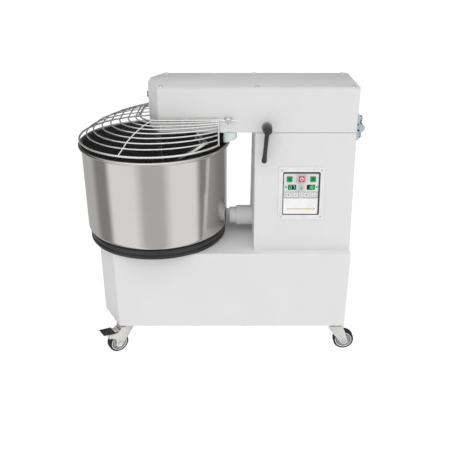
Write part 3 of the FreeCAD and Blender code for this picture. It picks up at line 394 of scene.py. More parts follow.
def add_tube(bm, points, radius, sides=14, radii=None, caps=True):
    """Sweep a circle along points with a frame that doesn't twist."""
    path = [Vector(p) for p in points]
    count = len(path)
    tangents = []
    for i in range(count):
        step = path[min(i + 1, count - 1)] - path[max(i - 1, 0)]
        tangents.append(step.normalized())
    side = tangents[0].orthogonal().normalized()
    rings = []
    for i in range(count):
        side = (side - tangents[i] * side.dot(tangents[i])).normalized()
        other = tangents[i].cross(side)
        r = radii[i] if radii else radius
        ring = []
        for k in range(sides):
            turn = 2 * pi * k / sides
            ring.append(bm.verts.new(path[i] + side * (r * cos(turn)) + other * (r * sin(turn))))
        rings.append(ring)
    for a, b in zip(rings[:-1], rings[1:]):
        bridge(bm, a, b)
    if caps:
        bm.faces.new(rings[0])
        bm.faces.new(list(reversed(rings[-1])))
    return bm


def add_ball(bm, point, radius, sides=14):
    bmesh.ops.create_uvsphere(bm, u_segments=sides, v_segments=max(6, sides // 2), radius=radius,
                              matrix=Matrix.Translation(Vector(point)))
    return bm


# ---- fasteners
def add_socket_screw(bm, seat, normal, radius, height):
    """Dome-head screw with a round socket sunk in its crown."""
    matrix = frame_matrix(seat, normal)
    ball = (radius * radius + height * height) / (2 * height)
    profile = [(radius, -0.0002), (radius, height * 0.12)]
    for i in range(1, 6):
        r = radius * (1 - 0.11 * i)
        profile.append((r, sqrt(ball * ball - r * r) - (ball - height)))
    profile.append((radius * 0.42, profile[-1][1]))
    profile.append((radius * 0.40, height * 0.35))
    profile.append((0, height * 0.30))
    add_lathe(bm, profile, 24, matrix)


def add_hex_bolt(bm, seat, normal, flat, height, washer=True, turn=0.0):
    """Hexagonal head with a chamfered crown on a washer."""
    matrix = frame_matrix(seat, normal)
    base = 0.0
    if washer:
        base = flat * 0.095
        add_lathe(bm, round_profile([(0, 0), (flat * 0.62, 0), (flat * 0.62, base), (0, base)], flat * 0.02),
                  36, matrix)
    corner = flat / sqrt(3)
    low = regular(6, corner, turn)
    rows = [(1.0, base), (1.0, base + height * 0.84), (0.90, base + height)]
    rings = [[bm.verts.new(matrix @ Vector((x * s, y * s, z))) for x, y in low] for s, z in rows]
    for a, b in zip(rings[:-1], rings[1:]):
        bridge(bm, a, b)
    bm.faces.new(rings[0])
    bm.faces.new(rings[-1])


def solid_middles(node):
    """Middle of each separate solid of a grouped CAD node."""
    mesh = NODES[node].data
    bm = bmesh.new()
    bm.from_mesh(mesh)
    bmesh.ops.remove_doubles(bm, verts=bm.verts, dist=1e-6)
    seen = set()
    middles = []
    for start in bm.verts:
        if start.index in seen:
            continue
        stack = [start]
        seen.add(start.index)
        points = []
        while stack:
            vertex = stack.pop()
            points.append(vertex.co.copy())
            for edge in vertex.link_edges:
                other = edge.other_vert(vertex)
                if other.index not in seen:
                    seen.add(other.index)
                    stack.append(other)
        low = Vector(min(p[k] for p in points) for k in range(3))
        high = Vector(max(p[k] for p in points) for k in range(3))
        middles.append((low + high) / 2)
    bm.free()
    return middles


# ---- casings
COLUMN_TOP = HEAD_LOW.z - 0.8 * MM
COLUMN_HALF_TOP = HEAD_HIGH.y
COLUMN_HALF_FOOT = COLUMN_HIGH.y
CASING_EDGE = 3.5 * MM


def casing_outline(low, high, nose_half, shoulder_run, back_x):
    """Plan of a casing whose nose is chamfered on both sides."""
    half = high.y
    front = [(back_x, -half), (low.x + shoulder_run, -half), (low.x, -nose_half)]
    return front + [(x, -y) for x, y in reversed(front)]


def base_pieces():
    outline = casing_outline(BASE_LOW, BASE_HIGH, 71.5 * MM, 63 * MM, BASE_HIGH.x)
    bm = bmesh.new()
    add_prism(bm, outline, BASE_LOW.z, BASE_HIGH.z, bevel=CASING_EDGE, segments=4,
              keep=lambda e: min(v.co.x for v in e.verts) < BASE_HIGH.x - 1e-5)
    finish_mesh("base_shell", bm, PAINT, "base", ["base_casing"])


def column_half(z):
    """Half-width of the column at a height."""
    rise = (COLUMN_TOP - z) / (COLUMN_TOP - COLUMN_LOW.z)
    return COLUMN_HALF_TOP + rise * (COLUMN_HALF_FOOT - COLUMN_HALF_TOP)


def column_pieces():
    foot = COLUMN_LOW.z
    top = COLUMN_TOP
    section = [(-column_half(foot), foot), (column_half(foot), foot), (column_half(top), top),
               (-column_half(top), top)]
    bm = bmesh.new()
    add_prism(bm, section, COLUMN_LOW.x, BACK_X, frame_matrix((0, 0, 0), (1, 0, 0), (0, 1, 0)),
              bevel=CASING_EDGE, segments=4,
              keep=lambda e: min(v.co.x for v in e.verts) < BACK_X - 1e-5
              and max(v.co.z for v in e.verts) > foot + 1e-5)
    slot = 9.5 * MM
    tab_half = 20 * MM
    tab_low = top - 1 * MM - LEVER.z
    tab_high = 14 * MM
    tab = [(-tab_half, tab_low), (tab_half, tab_low), (tab_half, tab_high), (slot, tab_high)]
    for i in range(13):
        turn = radians(-15 * i)
        tab.append((slot * cos(turn), slot * sin(turn)))
    tab.append((-slot, tab_high))
    fork = frame_matrix((LEVER.x, 0, LEVER.z), (0, -1, 0), (1, 0, 0))
    add_prism(bm, tab, 95 * MM, 101 * MM, fork, bevel=0.8 * MM, segments=2)
    finish_mesh("column_shell", bm, PAINT, "base", ["column_casing"])


def head_pieces():
    outline = casing_outline(HEAD_LOW, HEAD_HIGH, 37.4 * MM, 34 * MM, HEAD_HIGH.x)
    bm = bmesh.new()
    add_prism(bm, outline, HEAD_LOW.z, HEAD_HIGH.z - 0.4 * MM, bevel=3.0 * MM, segments=4,
              keep=lambda e: max(v.co.z for v in e.verts) < HEAD_HIGH.z - 1e-3 or
              abs(e.verts[0].co.z - e.verts[1].co.z) > 0.05)
    finish_mesh("head_shell", bm, PAINT, "head", ["head_casing"])
    bm = bmesh.new()
    add_prism(bm, outline, COVER_LOW.z - 0.2 * MM, COVER_HIGH.z, bevel=1.0 * MM, segments=3)
    finish_mesh("head_lid", bm, PAINT, "head", ["head_cover"])


# ---- bowl
def bowl_pieces():
    foot = BOWL_LOW.z
    bead_z = BOWL_HIGH.z - BEAD_R
    corner = 15 * MM
    wall = 2 * MM
    axis = frame_matrix((BOWL_X, 0, 0), (0, 0, 1))

    def bottom(radius, z):
        points = [(0, z)]
        for i in range(13):
            turn = radians(90 * i / 12)
            points.append((BOWL_R - corner + radius * sin(turn),
                           foot + corner - radius * cos(turn)))
        return points

    bead = [(RIM_R + BEAD_R * cos(radians(a)), bead_z + BEAD_R * sin(radians(a)))
            for a in range(-158, 151, 14)]
    bm = bmesh.new()
    add_lathe(bm, bottom(corner, foot) + bead, 256, axis)
    finish_mesh("bowl_outer_skin", bm, BOWL_STEEL, "bowl", ["bowl"])
    # The inner skin takes the darkened steel, a painted dark reflection.
    bm = bmesh.new()
    lip = [(BOWL_R - wall, bead_z), (BOWL_R - 0.4 * MM, bead_z + 2.2 * MM)]
    add_lathe(bm, bottom(corner - wall, foot + wall) + lip, 256, axis)
    finish_mesh("bowl_inner_skin", bm, BOWL_INNER_SHADED_STEEL, "bowl", ["bowl"])
    ring = [(201, 0), (219, 0), (220, 1), (220, 9.2), (219, 10.25), (217, 10.25), (217, 14.25),
            (219, 14.25), (220, 15.3), (220, 25.2), (219, 27.8), (216.5, 29.2), (201, 29.2)]
    z0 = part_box("bowl_ring")[0].z
    profile = [(r * MM, z0 + z * MM) for r, z in ring]
    lathe_piece("bowl_carrier_ring", profile, (BOWL_X, 0, 0), (0, 0, 1), BLACK_NYLON, "bowl",
                ["bowl_ring"], 256, 0.7 * MM)


# ---- guard
GUARD_END_X = 201.0       # end bars, from the bowl's axis
GUARD_END_Y = 112.0
END_BAR_R = 2.7
PIVOT_WIRE_R = 2.4
RADIAL_BAR_R = 2.0
PIVOT_BOSS_Y = 117.0
GUARD_RINGS = (
    # height over the rim, reach over the nose, half-width at the bowl axis, corner radius, wire radius
    (15.0, 229.0, 229.0, 229.0, 2.9),
    (32.0, 204.0, 210.0, 203.0, 2.1),
    (46.0, 180.0, 199.0, 182.0, 2.1),
    (57.0, 152.0, 185.0, 160.0, 2.1),
    (67.0, 124.0, 172.0, 140.0, 2.1),
    (75.0, 96.0, 158.0, 120.0, 2.1),
    (81.0, 69.0, 146.0, 100.0, 2.1),
    (86.0, 46.0, 131.0, 80.0, 2.1),
    (90.0, 32.0, 118.0, 60.0, 2.4),
)


def over_rim(height):
    return BOWL_HIGH.z + height * MM


def ring_points(height, reach, half, corner, steps=26):
    """Centre line of one guard wire, from the front end bar round the nose to the rear one."""
    corner_x = -reach + corner
    flat = half - corner
    run = GUARD_END_X - corner_x
    sag = half - GUARD_END_Y
    arc_r = (run * run + sag * sag) / (2 * sag)
    sweep = asin(run / arc_r)
    front = []
    for i in range(steps):
        turn = sweep * (1 - i / steps)
        front.append((corner_x + arc_r * sin(turn), -(half - arc_r * (1 - cos(turn)))))
    for i in range(steps + 1):
        turn = radians(90 * i / steps)
        front.append((corner_x - corner * sin(turn), -(flat + corner * cos(turn))))
    back = [(x, -y) for x, y in reversed(front)]
    if flat < 0.5:
        back = back[1:]
    return [Vector((BOWL_X + x * MM, y * MM, over_rim(height))) for x, y in front + back]


def crossing(points, a, b):
    """Where a wire's line crosses the vertical plane through a and b."""
    normal = Vector((-(b.y - a.y), b.x - a.x, 0)).normalized()
    for p, q in zip(points[:-1], points[1:]):
        dp, dq = (p - a).dot(normal), (q - a).dot(normal)
        hit = p if dp == dq else p + (q - p) * (dp / (dp - dq))
        if dp * dq <= 0 and (hit - a).dot(b - a) > -0.02 and (hit.y > 0) == (a.y > 0):
            return hit
    return points[0]


def guard_piece():
    bm = bmesh.new()
    wires = [ring_points(*ring[:4]) for ring in GUARD_RINGS]
    for wire, ring in zip(wires, GUARD_RINGS):
        add_tube(bm, wire, ring[4] * MM, 14)
    end_x = BOWL_X + GUARD_END_X * MM
    for side in (-1, 1):
        y = side * GUARD_END_Y * MM
        low = Vector((end_x, y, over_rim(GUARD_RINGS[0][0] - 1)))
        top = Vector((end_x, y, over_rim(GUARD_RINGS[-1][0])))
        add_tube(bm, [low, low + (top - low) * 0.5, top], END_BAR_R * MM, 14)
        add_ball(bm, low, 3.4 * MM)
        add_ball(bm, top, 2.8 * MM)
        for ring in GUARD_RINGS[1:-1]:
            add_ball(bm, (end_x, y, over_rim(ring[0])), 3.1 * MM)
        boss_y = side * PIVOT_BOSS_Y * MM
        neck = Vector((PIVOT.x - 6 * MM, boss_y, PIVOT.z))
        add_tube(bm, [top, top + (neck - top) * 0.5, neck], PIVOT_WIRE_R * MM, 14)
        tail = Vector((PIVOT.x + 25 * MM, boss_y, PIVOT.z))
        add_tube(bm, [neck, neck + (tail - neck) * 0.5, tail], PIVOT_WIRE_R * MM, 14)
        foot = Vector((BOWL_X - 85 * MM, side * 220 * MM, 0))
        head = Vector((BOWL_X + 15.5 * MM, side * 106 * MM, 0))
        bar = [crossing(wire, foot, head) for wire in wires]
        add_tube(bm, bar, RADIAL_BAR_R * MM, 12)
        for point in bar:
            add_ball(bm, point, 2.5 * MM, 12)
        boss = [(5.1, -7), (7.6, -7), (8.5, -6), (8.5, 6), (7.6, 7), (5.1, 7)]
        add_lathe(bm, scaled(boss), 40,
                  frame_matrix((PIVOT.x, boss_y, PIVOT.z), (0, 1, 0)), closed=True)
    finish_mesh("guard_cage", bm, WIRE, "guard", ["guard"], 45)


# ---- panel
PANEL_OUT = -Vector(joint("press_stop")["axis"])
PANEL_ORIGIN = centre("panel_plate") + PANEL_OUT * 1.5 * MM
PANEL = frame_matrix(PANEL_ORIGIN, PANEL_OUT, (1, 0, 0))
LARGE_KEYS = (("start_bowl", -36.0), ("stop", 0.0), ("start_spiral", 34.0))
SMALL_KEYS = (("time_less_a", -39.0), ("time_more_a", -16.5), ("time_less_b", 16.0), ("time_more_b", 38.5))
LARGE_KEY_Y = 45.0
SMALL_KEY_Y = -4.0
FOIL_BED = 2.6            # height at which the printed layers start
LINE_WIDTH = 0.9
SEGMENTS = {"0": "abcdef", "1": "bc", "7": "abc", "8": "abcdefg"}


def on_panel(x, y, z=0.0):
    return PANEL @ Matrix.Translation((x * MM, y * MM, z * MM))


def panel_bar(bm, x0, y0, x1, y1, z0, z1):
    outline = scaled([(x0, y0), (x1, y0), (x1, y1), (x0, y1)])
    add_prism(bm, outline, z0 * MM, z1 * MM, PANEL)


def panel_line(bm, points, width, z0, z1):
    """Square-cornered line on the foil through points whose steps are level or upright."""
    half = width / 2
    for (xa, ya), (xb, yb) in zip(points[:-1], points[1:]):
        panel_bar(bm, min(xa, xb) - half, min(ya, yb) - half, max(xa, xb) + half, max(ya, yb) + half, z0, z1)


def digit(bm, x, y, text):
    """Seven-segment digit centred on a point of the panel."""
    w, h, t = 5.4, 9.6, 1.5
    bars = {"a": (0, h / 2, w, t), "g": (0, 0, w, t), "d": (0, -h / 2, w, t),
            "f": (-w / 2, h / 4, t, h / 2), "b": (w / 2, h / 4, t, h / 2),
            "e": (-w / 2, -h / 4, t, h / 2), "c": (w / 2, -h / 4, t, h / 2)}
    for letter in SEGMENTS[text]:
        cx, cy, bw, bh = bars[letter]
        panel_bar(bm, x + cx - bw / 2, y + cy - bh / 2, x + cx + bw / 2, y + cy + bh / 2, 3.0, 3.28)


def panel_pieces():
    bm = bmesh.new()
    outer = rounded_rectangle(138 * MM, 162 * MM, 5 * MM)
    lip = rounded_rectangle(126 * MM, 149 * MM, 4 * MM)
    inner = rounded_rectangle(112 * MM, 133 * MM, 4 * MM)
    add_frame(bm, outer, lip, 0, 4 * MM, PANEL, 1.2 * MM)
    add_frame(bm, lip, inner, 0, 3.4 * MM, PANEL, 0.8 * MM)
    finish_mesh("panel_frame", bm, PANEL_FRAME, "base", ["panel_bezel"])
    bm = bmesh.new()
    # Opening of the dark border, set towards the left and the bottom so that the border is wider at the
    # right and the top: painted shadow.
    window = rounded_rectangle(104.5 * MM, 125.5 * MM, 2.5 * MM)
    window = [(x - 1.2 * MM, y - 1.0 * MM) for x, y in window]
    add_frame(bm, rounded_rectangle(113 * MM, 134 * MM, 4.4 * MM), window, 0, 3.15 * MM, PANEL)
    finish_mesh("panel_dark_border", bm, PANEL_DARK_BORDER, "base")
    bm = bmesh.new()
    add_prism(bm, rounded_rectangle(109 * MM, 130 * MM, 3 * MM), -6 * MM, 2.7 * MM, PANEL)
    finish_mesh("panel_foil", bm, FOIL_WHITE, "base", ["panel_plate"])
    bm = bmesh.new()
    panel_bar(bm, -53, -16, 52, 63.8, FOIL_BED, 2.74)
    finish_mesh("panel_upper_field", bm, FOIL_LIGHT, "base")
    bm = bmesh.new()
    cell = [(-17, 63.8), (-17, 34), (-10.5, 34), (-10.5, 6), (-4, 6), (-4, -12), (0, -12), (0, 6), (6.5, 6),
            (6.5, 34), (14, 34), (14, 63.8)]
    add_prism(bm, scaled(cell), FOIL_BED * MM, 2.78 * MM, PANEL)
    finish_mesh("panel_centre_field", bm, FOIL_GREY, "base")
    bm = bmesh.new()
    left = [(-52, 61.5), (-20.5, 61.5), (-20.5, 35.5), (-13.5, 35.5), (-13.5, 7.5), (-7.5, 7.5),
            (-7.5, -13.5), (-51, -13.5), (-51, 7.5), (-13.5, 7.5)]
    right = [(51.5, 61.5), (17.5, 61.5), (17.5, 35.5), (9.5, 35.5), (9.5, 7.5), (3.5, 7.5), (3.5, -13.5),
             (50.5, -13.5), (50.5, 7.5), (9.5, 7.5)]
    panel_line(bm, left, LINE_WIDTH, FOIL_BED, 2.86)
    panel_line(bm, right, LINE_WIDTH, FOIL_BED, 2.86)
    for _, x in SMALL_KEYS:
        corners = ((-1, -1), (1, -1), (1, 1), (-1, 1), (-1, -1))
        square = [(x + 8.4 * i, SMALL_KEY_Y + 8.4 * j) for i, j in corners]
        panel_line(bm, square, LINE_WIDTH, FOIL_BED, 2.9)
    finish_mesh("panel_outlines", bm, FOIL_LINE, "base")
    bm = bmesh.new()
    panel_bar(bm, -44, -49.2, 43, -46.2, FOIL_BED, 2.86)
    finish_mesh("panel_gold_line", bm, FOIL_GOLD, "base")
    bm = bmesh.new()
    display = rounded_rectangle(24.4 * MM, 15.8 * MM, 1 * MM)
    for x in (-28, 28):
        add_prism(bm, display, 1.5 * MM, 3.05 * MM, on_panel(x, 20), 0.2 * MM)
    finish_mesh("panel_display_windows", bm, GLASS_DARK, "base", ["panel_indicators"])
    bm = bmesh.new()
    for x, text in ((-33, "0"), (-23.5, "7"), (23.5, "1"), (32.5, "8")):
        digit(bm, x, 20, text)
    finish_mesh("panel_digits", bm, DIGIT, "base")
    bm = bmesh.new()
    for x, y in ((-46.5, 20.5), (0, 17), (46.5, 20.5)):
        profile = [(3.6, 2.0), (3.6, 3.3), (3.1, 3.9), (1.8, 4.4), (0, 4.6)]
        add_lathe(bm, scaled(profile), 24, on_panel(x, y))
    finish_mesh("panel_lamps", bm, LED, "base")


def key_cap(name, place, size, top, edge, material):
    """Square cap of a key, with a stem that goes into the panel."""
    bm = bmesh.new()
    square = rounded_rectangle(size * MM, size * MM, 1.4 * MM)
    add_prism(bm, square, -2.5 * MM, top * MM, place, edge * MM)
    finish_mesh("cap_" + name, bm, material, "key_" + name, ["key_" + name])


def key_pieces():
    for name, x in LARGE_KEYS:
        stop = name == "stop"
        place = on_panel(x, LARGE_KEY_Y)
        key_cap(name, place, 17, 4.4, 0.7, KEY_RED if stop else KEY_GREEN)
        bm = bmesh.new()
        if stop:
            add_prism(bm, regular(36, 5.6 * MM), 4.2 * MM, 4.55 * MM, place)
            finish_mesh("mark_disc_" + name, bm, KEY_WHITE_MARK, "key_" + name)
            bm = bmesh.new()
            triangle = regular(3, 5.2 * MM, pi / 2)
            add_prism(bm, triangle, 4.3 * MM, 4.7 * MM, on_panel(x, LARGE_KEY_Y - 0.5))
            finish_mesh("mark_triangle_" + name, bm, KEY_RED, "key_" + name)
            continue
        if name == "start_bowl":
            panel_bar(bm, x - 1.1, LARGE_KEY_Y - 4, x + 1.1, LARGE_KEY_Y + 4, 4.2, 4.55)
        else:
            add_frame(bm, regular(24, 3.9 * MM), regular(24, 1.8 * MM), 4.2 * MM, 4.55 * MM, place)
        finish_mesh("mark_" + name, bm, KEY_GREEN_MARK, "key_" + name)
    for name, x in SMALL_KEYS:
        key_cap(name, on_panel(x, SMALL_KEY_Y), 14, 4.3, 0.8, KEY_GREY)
        bm = bmesh.new()
        if "less" in name:
            triangle = regular(3, 3.2 * MM, -pi / 2)
            add_prism(bm, triangle, 4.1 * MM, 4.5 * MM, on_panel(x, SMALL_KEY_Y + 0.6))
        else:
            outer = regular(3, 2.9 * MM, pi / 2)
            inner = regular(3, 1.7 * MM, pi / 2)
            add_frame(bm, outer, inner, 4.1 * MM, 4.5 * MM, on_panel(x, SMALL_KEY_Y - 0.6))
        finish_mesh("mark_" + name, bm, KEY_GREY_MARK, "key_" + name)


# ---- hinge and fasteners
def along_y(x, z, y=0.0):
    return frame_matrix((x, y, z), (0, 1, 0), (1, 0, 0))


def hinge_barrel(bm, radius, y0, y1, edge=0.8 * MM, segments=48):
    """Cylinder on the hinge's axis with rounded ends."""
    profile = [(0, y0), (radius, y0), (radius, y1), (0, y1)]
    add_lathe(bm, round_profile(profile, edge, 4), segments, along_y(HINGE.x, HINGE.z))


def block(bm, low, high, bevel):
    outline = [(low[0], low[1]), (high[0], low[1]), (high[0], high[1]), (low[0], high[1])]
    add_prism(bm, outline, low[2], high[2], bevel=bevel)


def hinge_pieces():
    seat = BACK_X + 2 * MM
    leaf = BACK_X + 11 * MM
    radius = 12 * MM
    half = 96 * MM
    lower_low, lower_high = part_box("hinge_lower_leaf")
    bm = bmesh.new()
    block(bm, (seat, -half, lower_low.z), (leaf, half, HINGE.z - 14.3 * MM), 1.0 * MM)
    for y0, y1 in ((-96, -58), (-19, 19), (58, 96)):
        block(bm, (seat + 0.5 * MM, y0 * MM, HINGE.z - 16 * MM), (leaf, y1 * MM, HINGE.z - 3 * MM), 0.4 * MM)
        hinge_barrel(bm, radius, y0 * MM, y1 * MM)
    hinge_barrel(bm, 5 * MM, lower_low.y, lower_high.y, 1.2 * MM, 32)
    finish_mesh("hinge_lower_part", bm, ZINC, "base", ["hinge_lower_leaf"])
    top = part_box("hinge_upper_leaf")[1].z
    bm = bmesh.new()
    side = [(seat, HINGE.z + 12.8 * MM), (leaf, HINGE.z + 12.8 * MM), (leaf, top - 8 * MM), (seat, top)]
    add_prism(bm, side, -half, half, frame_matrix((0, 0, 0), (0, -1, 0), (1, 0, 0)), 1.0 * MM)
    for y0, y1 in ((-57, -20), (20, 57)):
        block(bm, (seat, y0 * MM, HINGE.z + 3 * MM), (leaf, y1 * MM, HINGE.z + 15 * MM), 0.4 * MM)
        hinge_barrel(bm, radius, y0 * MM, y1 * MM)
    finish_mesh("hinge_upper_part", bm, ZINC, "head", ["hinge_upper_leaf"])
    for node, body in (("hinge_bolts_lower", "base"), ("hinge_bolts_upper", "head")):
        bm = bmesh.new()
        for middle in solid_middles(node):
            add_hex_bolt(bm, (leaf, middle.y, middle.z), (1, 0, 0), 17 * MM, 6.4 * MM, turn=0.4)
        finish_mesh(node + "_heads", bm, BOLT_STEEL, body, [node])


def screw_pieces():
    bm = bmesh.new()
    for middle in solid_middles("head_cover_screws"):
        add_socket_screw(bm, (middle.x, middle.y, COVER_HIGH.z), (0, 0, 1), 6.5 * MM, 3.6 * MM)
    finish_mesh("head_cover_screw_heads", bm, SCREW_STEEL, "head", ["head_cover_screws"])
    bm = bmesh.new()
    for middle in solid_middles("casing_screws"):
        if middle.y < 0 and middle.x < BACK_X - 20 * MM:
            local = PANEL.inverted() @ middle
            x = copysign(60.5, local.x)
            y = copysign(71.5, local.y)
            add_socket_screw(bm, on_panel(x, y, 3.9).translation, PANEL_OUT, 3.4 * MM, 1.8 * MM)
        else:
            add_socket_screw(bm, (BACK_X + 2 * MM, middle.y, middle.z), (1, 0, 0), 4.6 * MM, 2.6 * MM)
    finish_mesh("casing_screw_heads", bm, SCREW_STEEL, "base", ["casing_screws"])
    low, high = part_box("tension_bolt")
    bm = bmesh.new()
    place = (HEAD_LOW.x + 0.2 * MM, 0, (low.z + high.z) / 2)
    add_hex_bolt(bm, place, (-1, 0, 0), 16 * MM, 6.3 * MM, turn=0.52)
    finish_mesh("tension_bolt_head", bm, BOLT_STEEL, "head", ["tension_bolt"])
    bm = bmesh.new()
    for side in (-1, 1):
        face = HEAD_HIGH.y
        profile = [(0, -0.1), (12, -0.1), (12, 3.2), (11.2, 4.0), (5.0, 4.0), (5.0, 20.2), (7.0, 20.2),
                   (7.0, 21.0), (5.9, 22.1), (4.2, 22.6), (3.0, 22.7), (2.8, 21.0), (0, 20.9)]
        add_lathe(bm, scaled(profile), 40, frame_matrix((PIVOT.x, side * face, PIVOT.z), (0, side, 0)))
    finish_mesh("guard_pivot_screws", bm, SCREW_STEEL, "head", ["guard_pivot_pins"])


# ---- lever and pads
def lever_pieces():
    boss_low, boss_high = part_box("lever_boss")
    bm = bmesh.new()
    bore = 8.1 * MM
    rim = 15 * MM
    profile = [(bore, boss_low.y), (rim, boss_low.y), (rim, boss_high.y), (bore, boss_high.y)]
    add_lathe(bm, round_profile(profile + [profile[0]], 1.2 * MM, 4), 48, along_y(LEVER.x, LEVER.z))
    finish_mesh("lever_boss_ring", bm, BOSS_GREY, "head", ["lever_boss"])
    lean = radians(4.4)
    down = Vector((-sin(lean), 0, -cos(lean)))
    y = -135 * MM
    start = Vector((LEVER.x, y, LEVER.z))
    bm = bmesh.new()
    hub = [(0, -146), (11.4, -146), (13, -144.4), (13, -122.6), (11.8, -121), (8.2, -121), (0, -121)]
    add_lathe(bm, scaled(hub), 48, along_y(LEVER.x, LEVER.z))
    dot = [(0, -146.4), (4.6, -146.4), (5.0, -146.0), (5.0, -145.5), (0, -145.5)]
    reach = 93 * MM
    stations = [(0.0, 7.0), (0.2, 6.6), (0.45, 6.4), (0.65, 6.2), (0.80, 6.2), (0.90, 6.9), (0.96, 7.8),
                (1.0, 8.1), (1.035, 7.5), (1.065, 5.8), (1.083, 3.2)]
    add_tube(bm, [start + down * (reach * t) for t, _ in stations], 0, 28, [r * MM for _, r in stations])
    finish_mesh("clamp_lever_moulding", bm, BLACK_GRIP, "clamp", ["clamp_lever"], 50)
    bm = bmesh.new()
    add_lathe(bm, [(r * MM, (h + 0.6) * MM) for r, h in dot], 32, along_y(LEVER.x, LEVER.z))
    finish_mesh("clamp_lever_cap", bm, BLACK_NYLON, "clamp")


def pad_pieces():
    low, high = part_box("thrust_pad")
    tube_low, tube_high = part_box("thrust_tube")
    z = (tube_low.z + tube_high.z) / 2
    profile = [(0, tube_low.x), (32 * MM, tube_low.x), (32 * MM, tube_high.x)]
    lathe_piece("thrust_tube_sleeve", profile, (0, 0, z), (1, 0, 0), PAINT, "base",
                ["thrust_tube"], rounding=2.2 * MM)
    bm = bmesh.new()
    profile = [(0, low.x), (26.6 * MM, low.x), (26.6 * MM, tube_low.x + 0.5 * MM)]
    add_lathe(bm, round_profile(profile, 3.0 * MM, 6), 96, frame_matrix((0, 0, z), (1, 0, 0)))
    finish_mesh("thrust_pad_face", bm, PAD_GREY, "base", ["thrust_pad"])
    for node in ("rim_pad_front", "rim_pad_rear"):
        low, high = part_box(node)
        middle = (low + high) / 2
        radius = (high.x - low.x) / 2
        rise = 12.5 * MM
        bm = bmesh.new()
        rows = [(0.93, 0.0), (0.98, 0.35), (1.0, 1.4)]
        rings = []
        for scale, lift in rows:
            ring = []
            for i in range(64):
                turn = 2 * pi * i / 64
                dx = radius * scale * cos(turn)
                z = low.z + rise * (dx / radius + 1) / 2 + lift * MM
                ring.append(bm.verts.new((middle.x + dx, middle.y + radius * scale * sin(turn), z)))
            rings.append(ring)
        rings.append([bm.verts.new((v.co.x, v.co.y, high.z)) for v in rings[-1]])
        for a, b in zip(rings[:-1], rings[1:]):
            bridge(bm, a, b)
        bm.faces.new(rings[0])
        bm.faces.new(rings[-1])
        finish_mesh(node + "_turned", bm, WHITE_NYLON, "head", [node])


# ---- casters
CASTER_NAMES = ("nose_front", "nose_rear", "column_front", "column_rear")
TRAIL = 32.0
AXLE = 32.5
CROWN_TOP = 93.5
CROWN_LOW = 89.0


def caster_frame(name):
    """Local X along the trail, local Z up, origin under the swivel, AXLE mm below the axle."""
    swivel = Vector(joint("swivel_" + name)["pos_m"])
    wheel = Vector(joint("roll_" + name)["pos_m"])
    trail = wheel - swivel
    return frame_matrix((swivel.x, swivel.y, wheel.z - AXLE * MM), (0, 0, 1), (trail.x, trail.y, 0))


def rounded_outline(points, steps=5):
    """Closed outline of (x, y, corner radius) points with its corners rounded."""
    result = []
    count = len(points)
    for i in range(count):
        before = Vector(points[i - 1][:2])
        corner = Vector(points[i][:2])
        after = Vector(points[(i + 1) % count][:2])
        radius = points[i][2]
        if radius <= 0:
            result.append(tuple(corner))
            continue
        to_before = (before - corner).normalized()
        to_after = (after - corner).normalized()
        half = to_before.angle(to_after) / 2
        cut = min(radius / tan(half), (before - corner).length * 0.48, (after - corner).length * 0.48)
        a = corner + to_before * cut
        b = corner + to_after * cut
        result += corner_curve(a, corner, b, steps)
    return result


def leg_outline(braked):
    """Side view of a fork's leg; a braked one has an ear for the pedal's pin."""
    points = [(-21, 83, 5), (-21, CROWN_TOP, 3), (24, CROWN_TOP, 2)]
    if braked:
        points += [(25, 84, 3), (37, 75.5, 5), (54, 76.5, 4), (65.5, 78, 7), (64.5, 64, 7),
                   (47, 56, 6), (42, 44, 4)]
    else:
        points += [(25, 86, 3), (32.7, 70, 8), (42, 41, 8)]
    points += [(45.2, 32.5, 9), (42, 21.5, 9), (28, 19.2, 9), (18, 31.5, 4), (-4, 59, 14)]
    return scaled(rounded_outline(points))


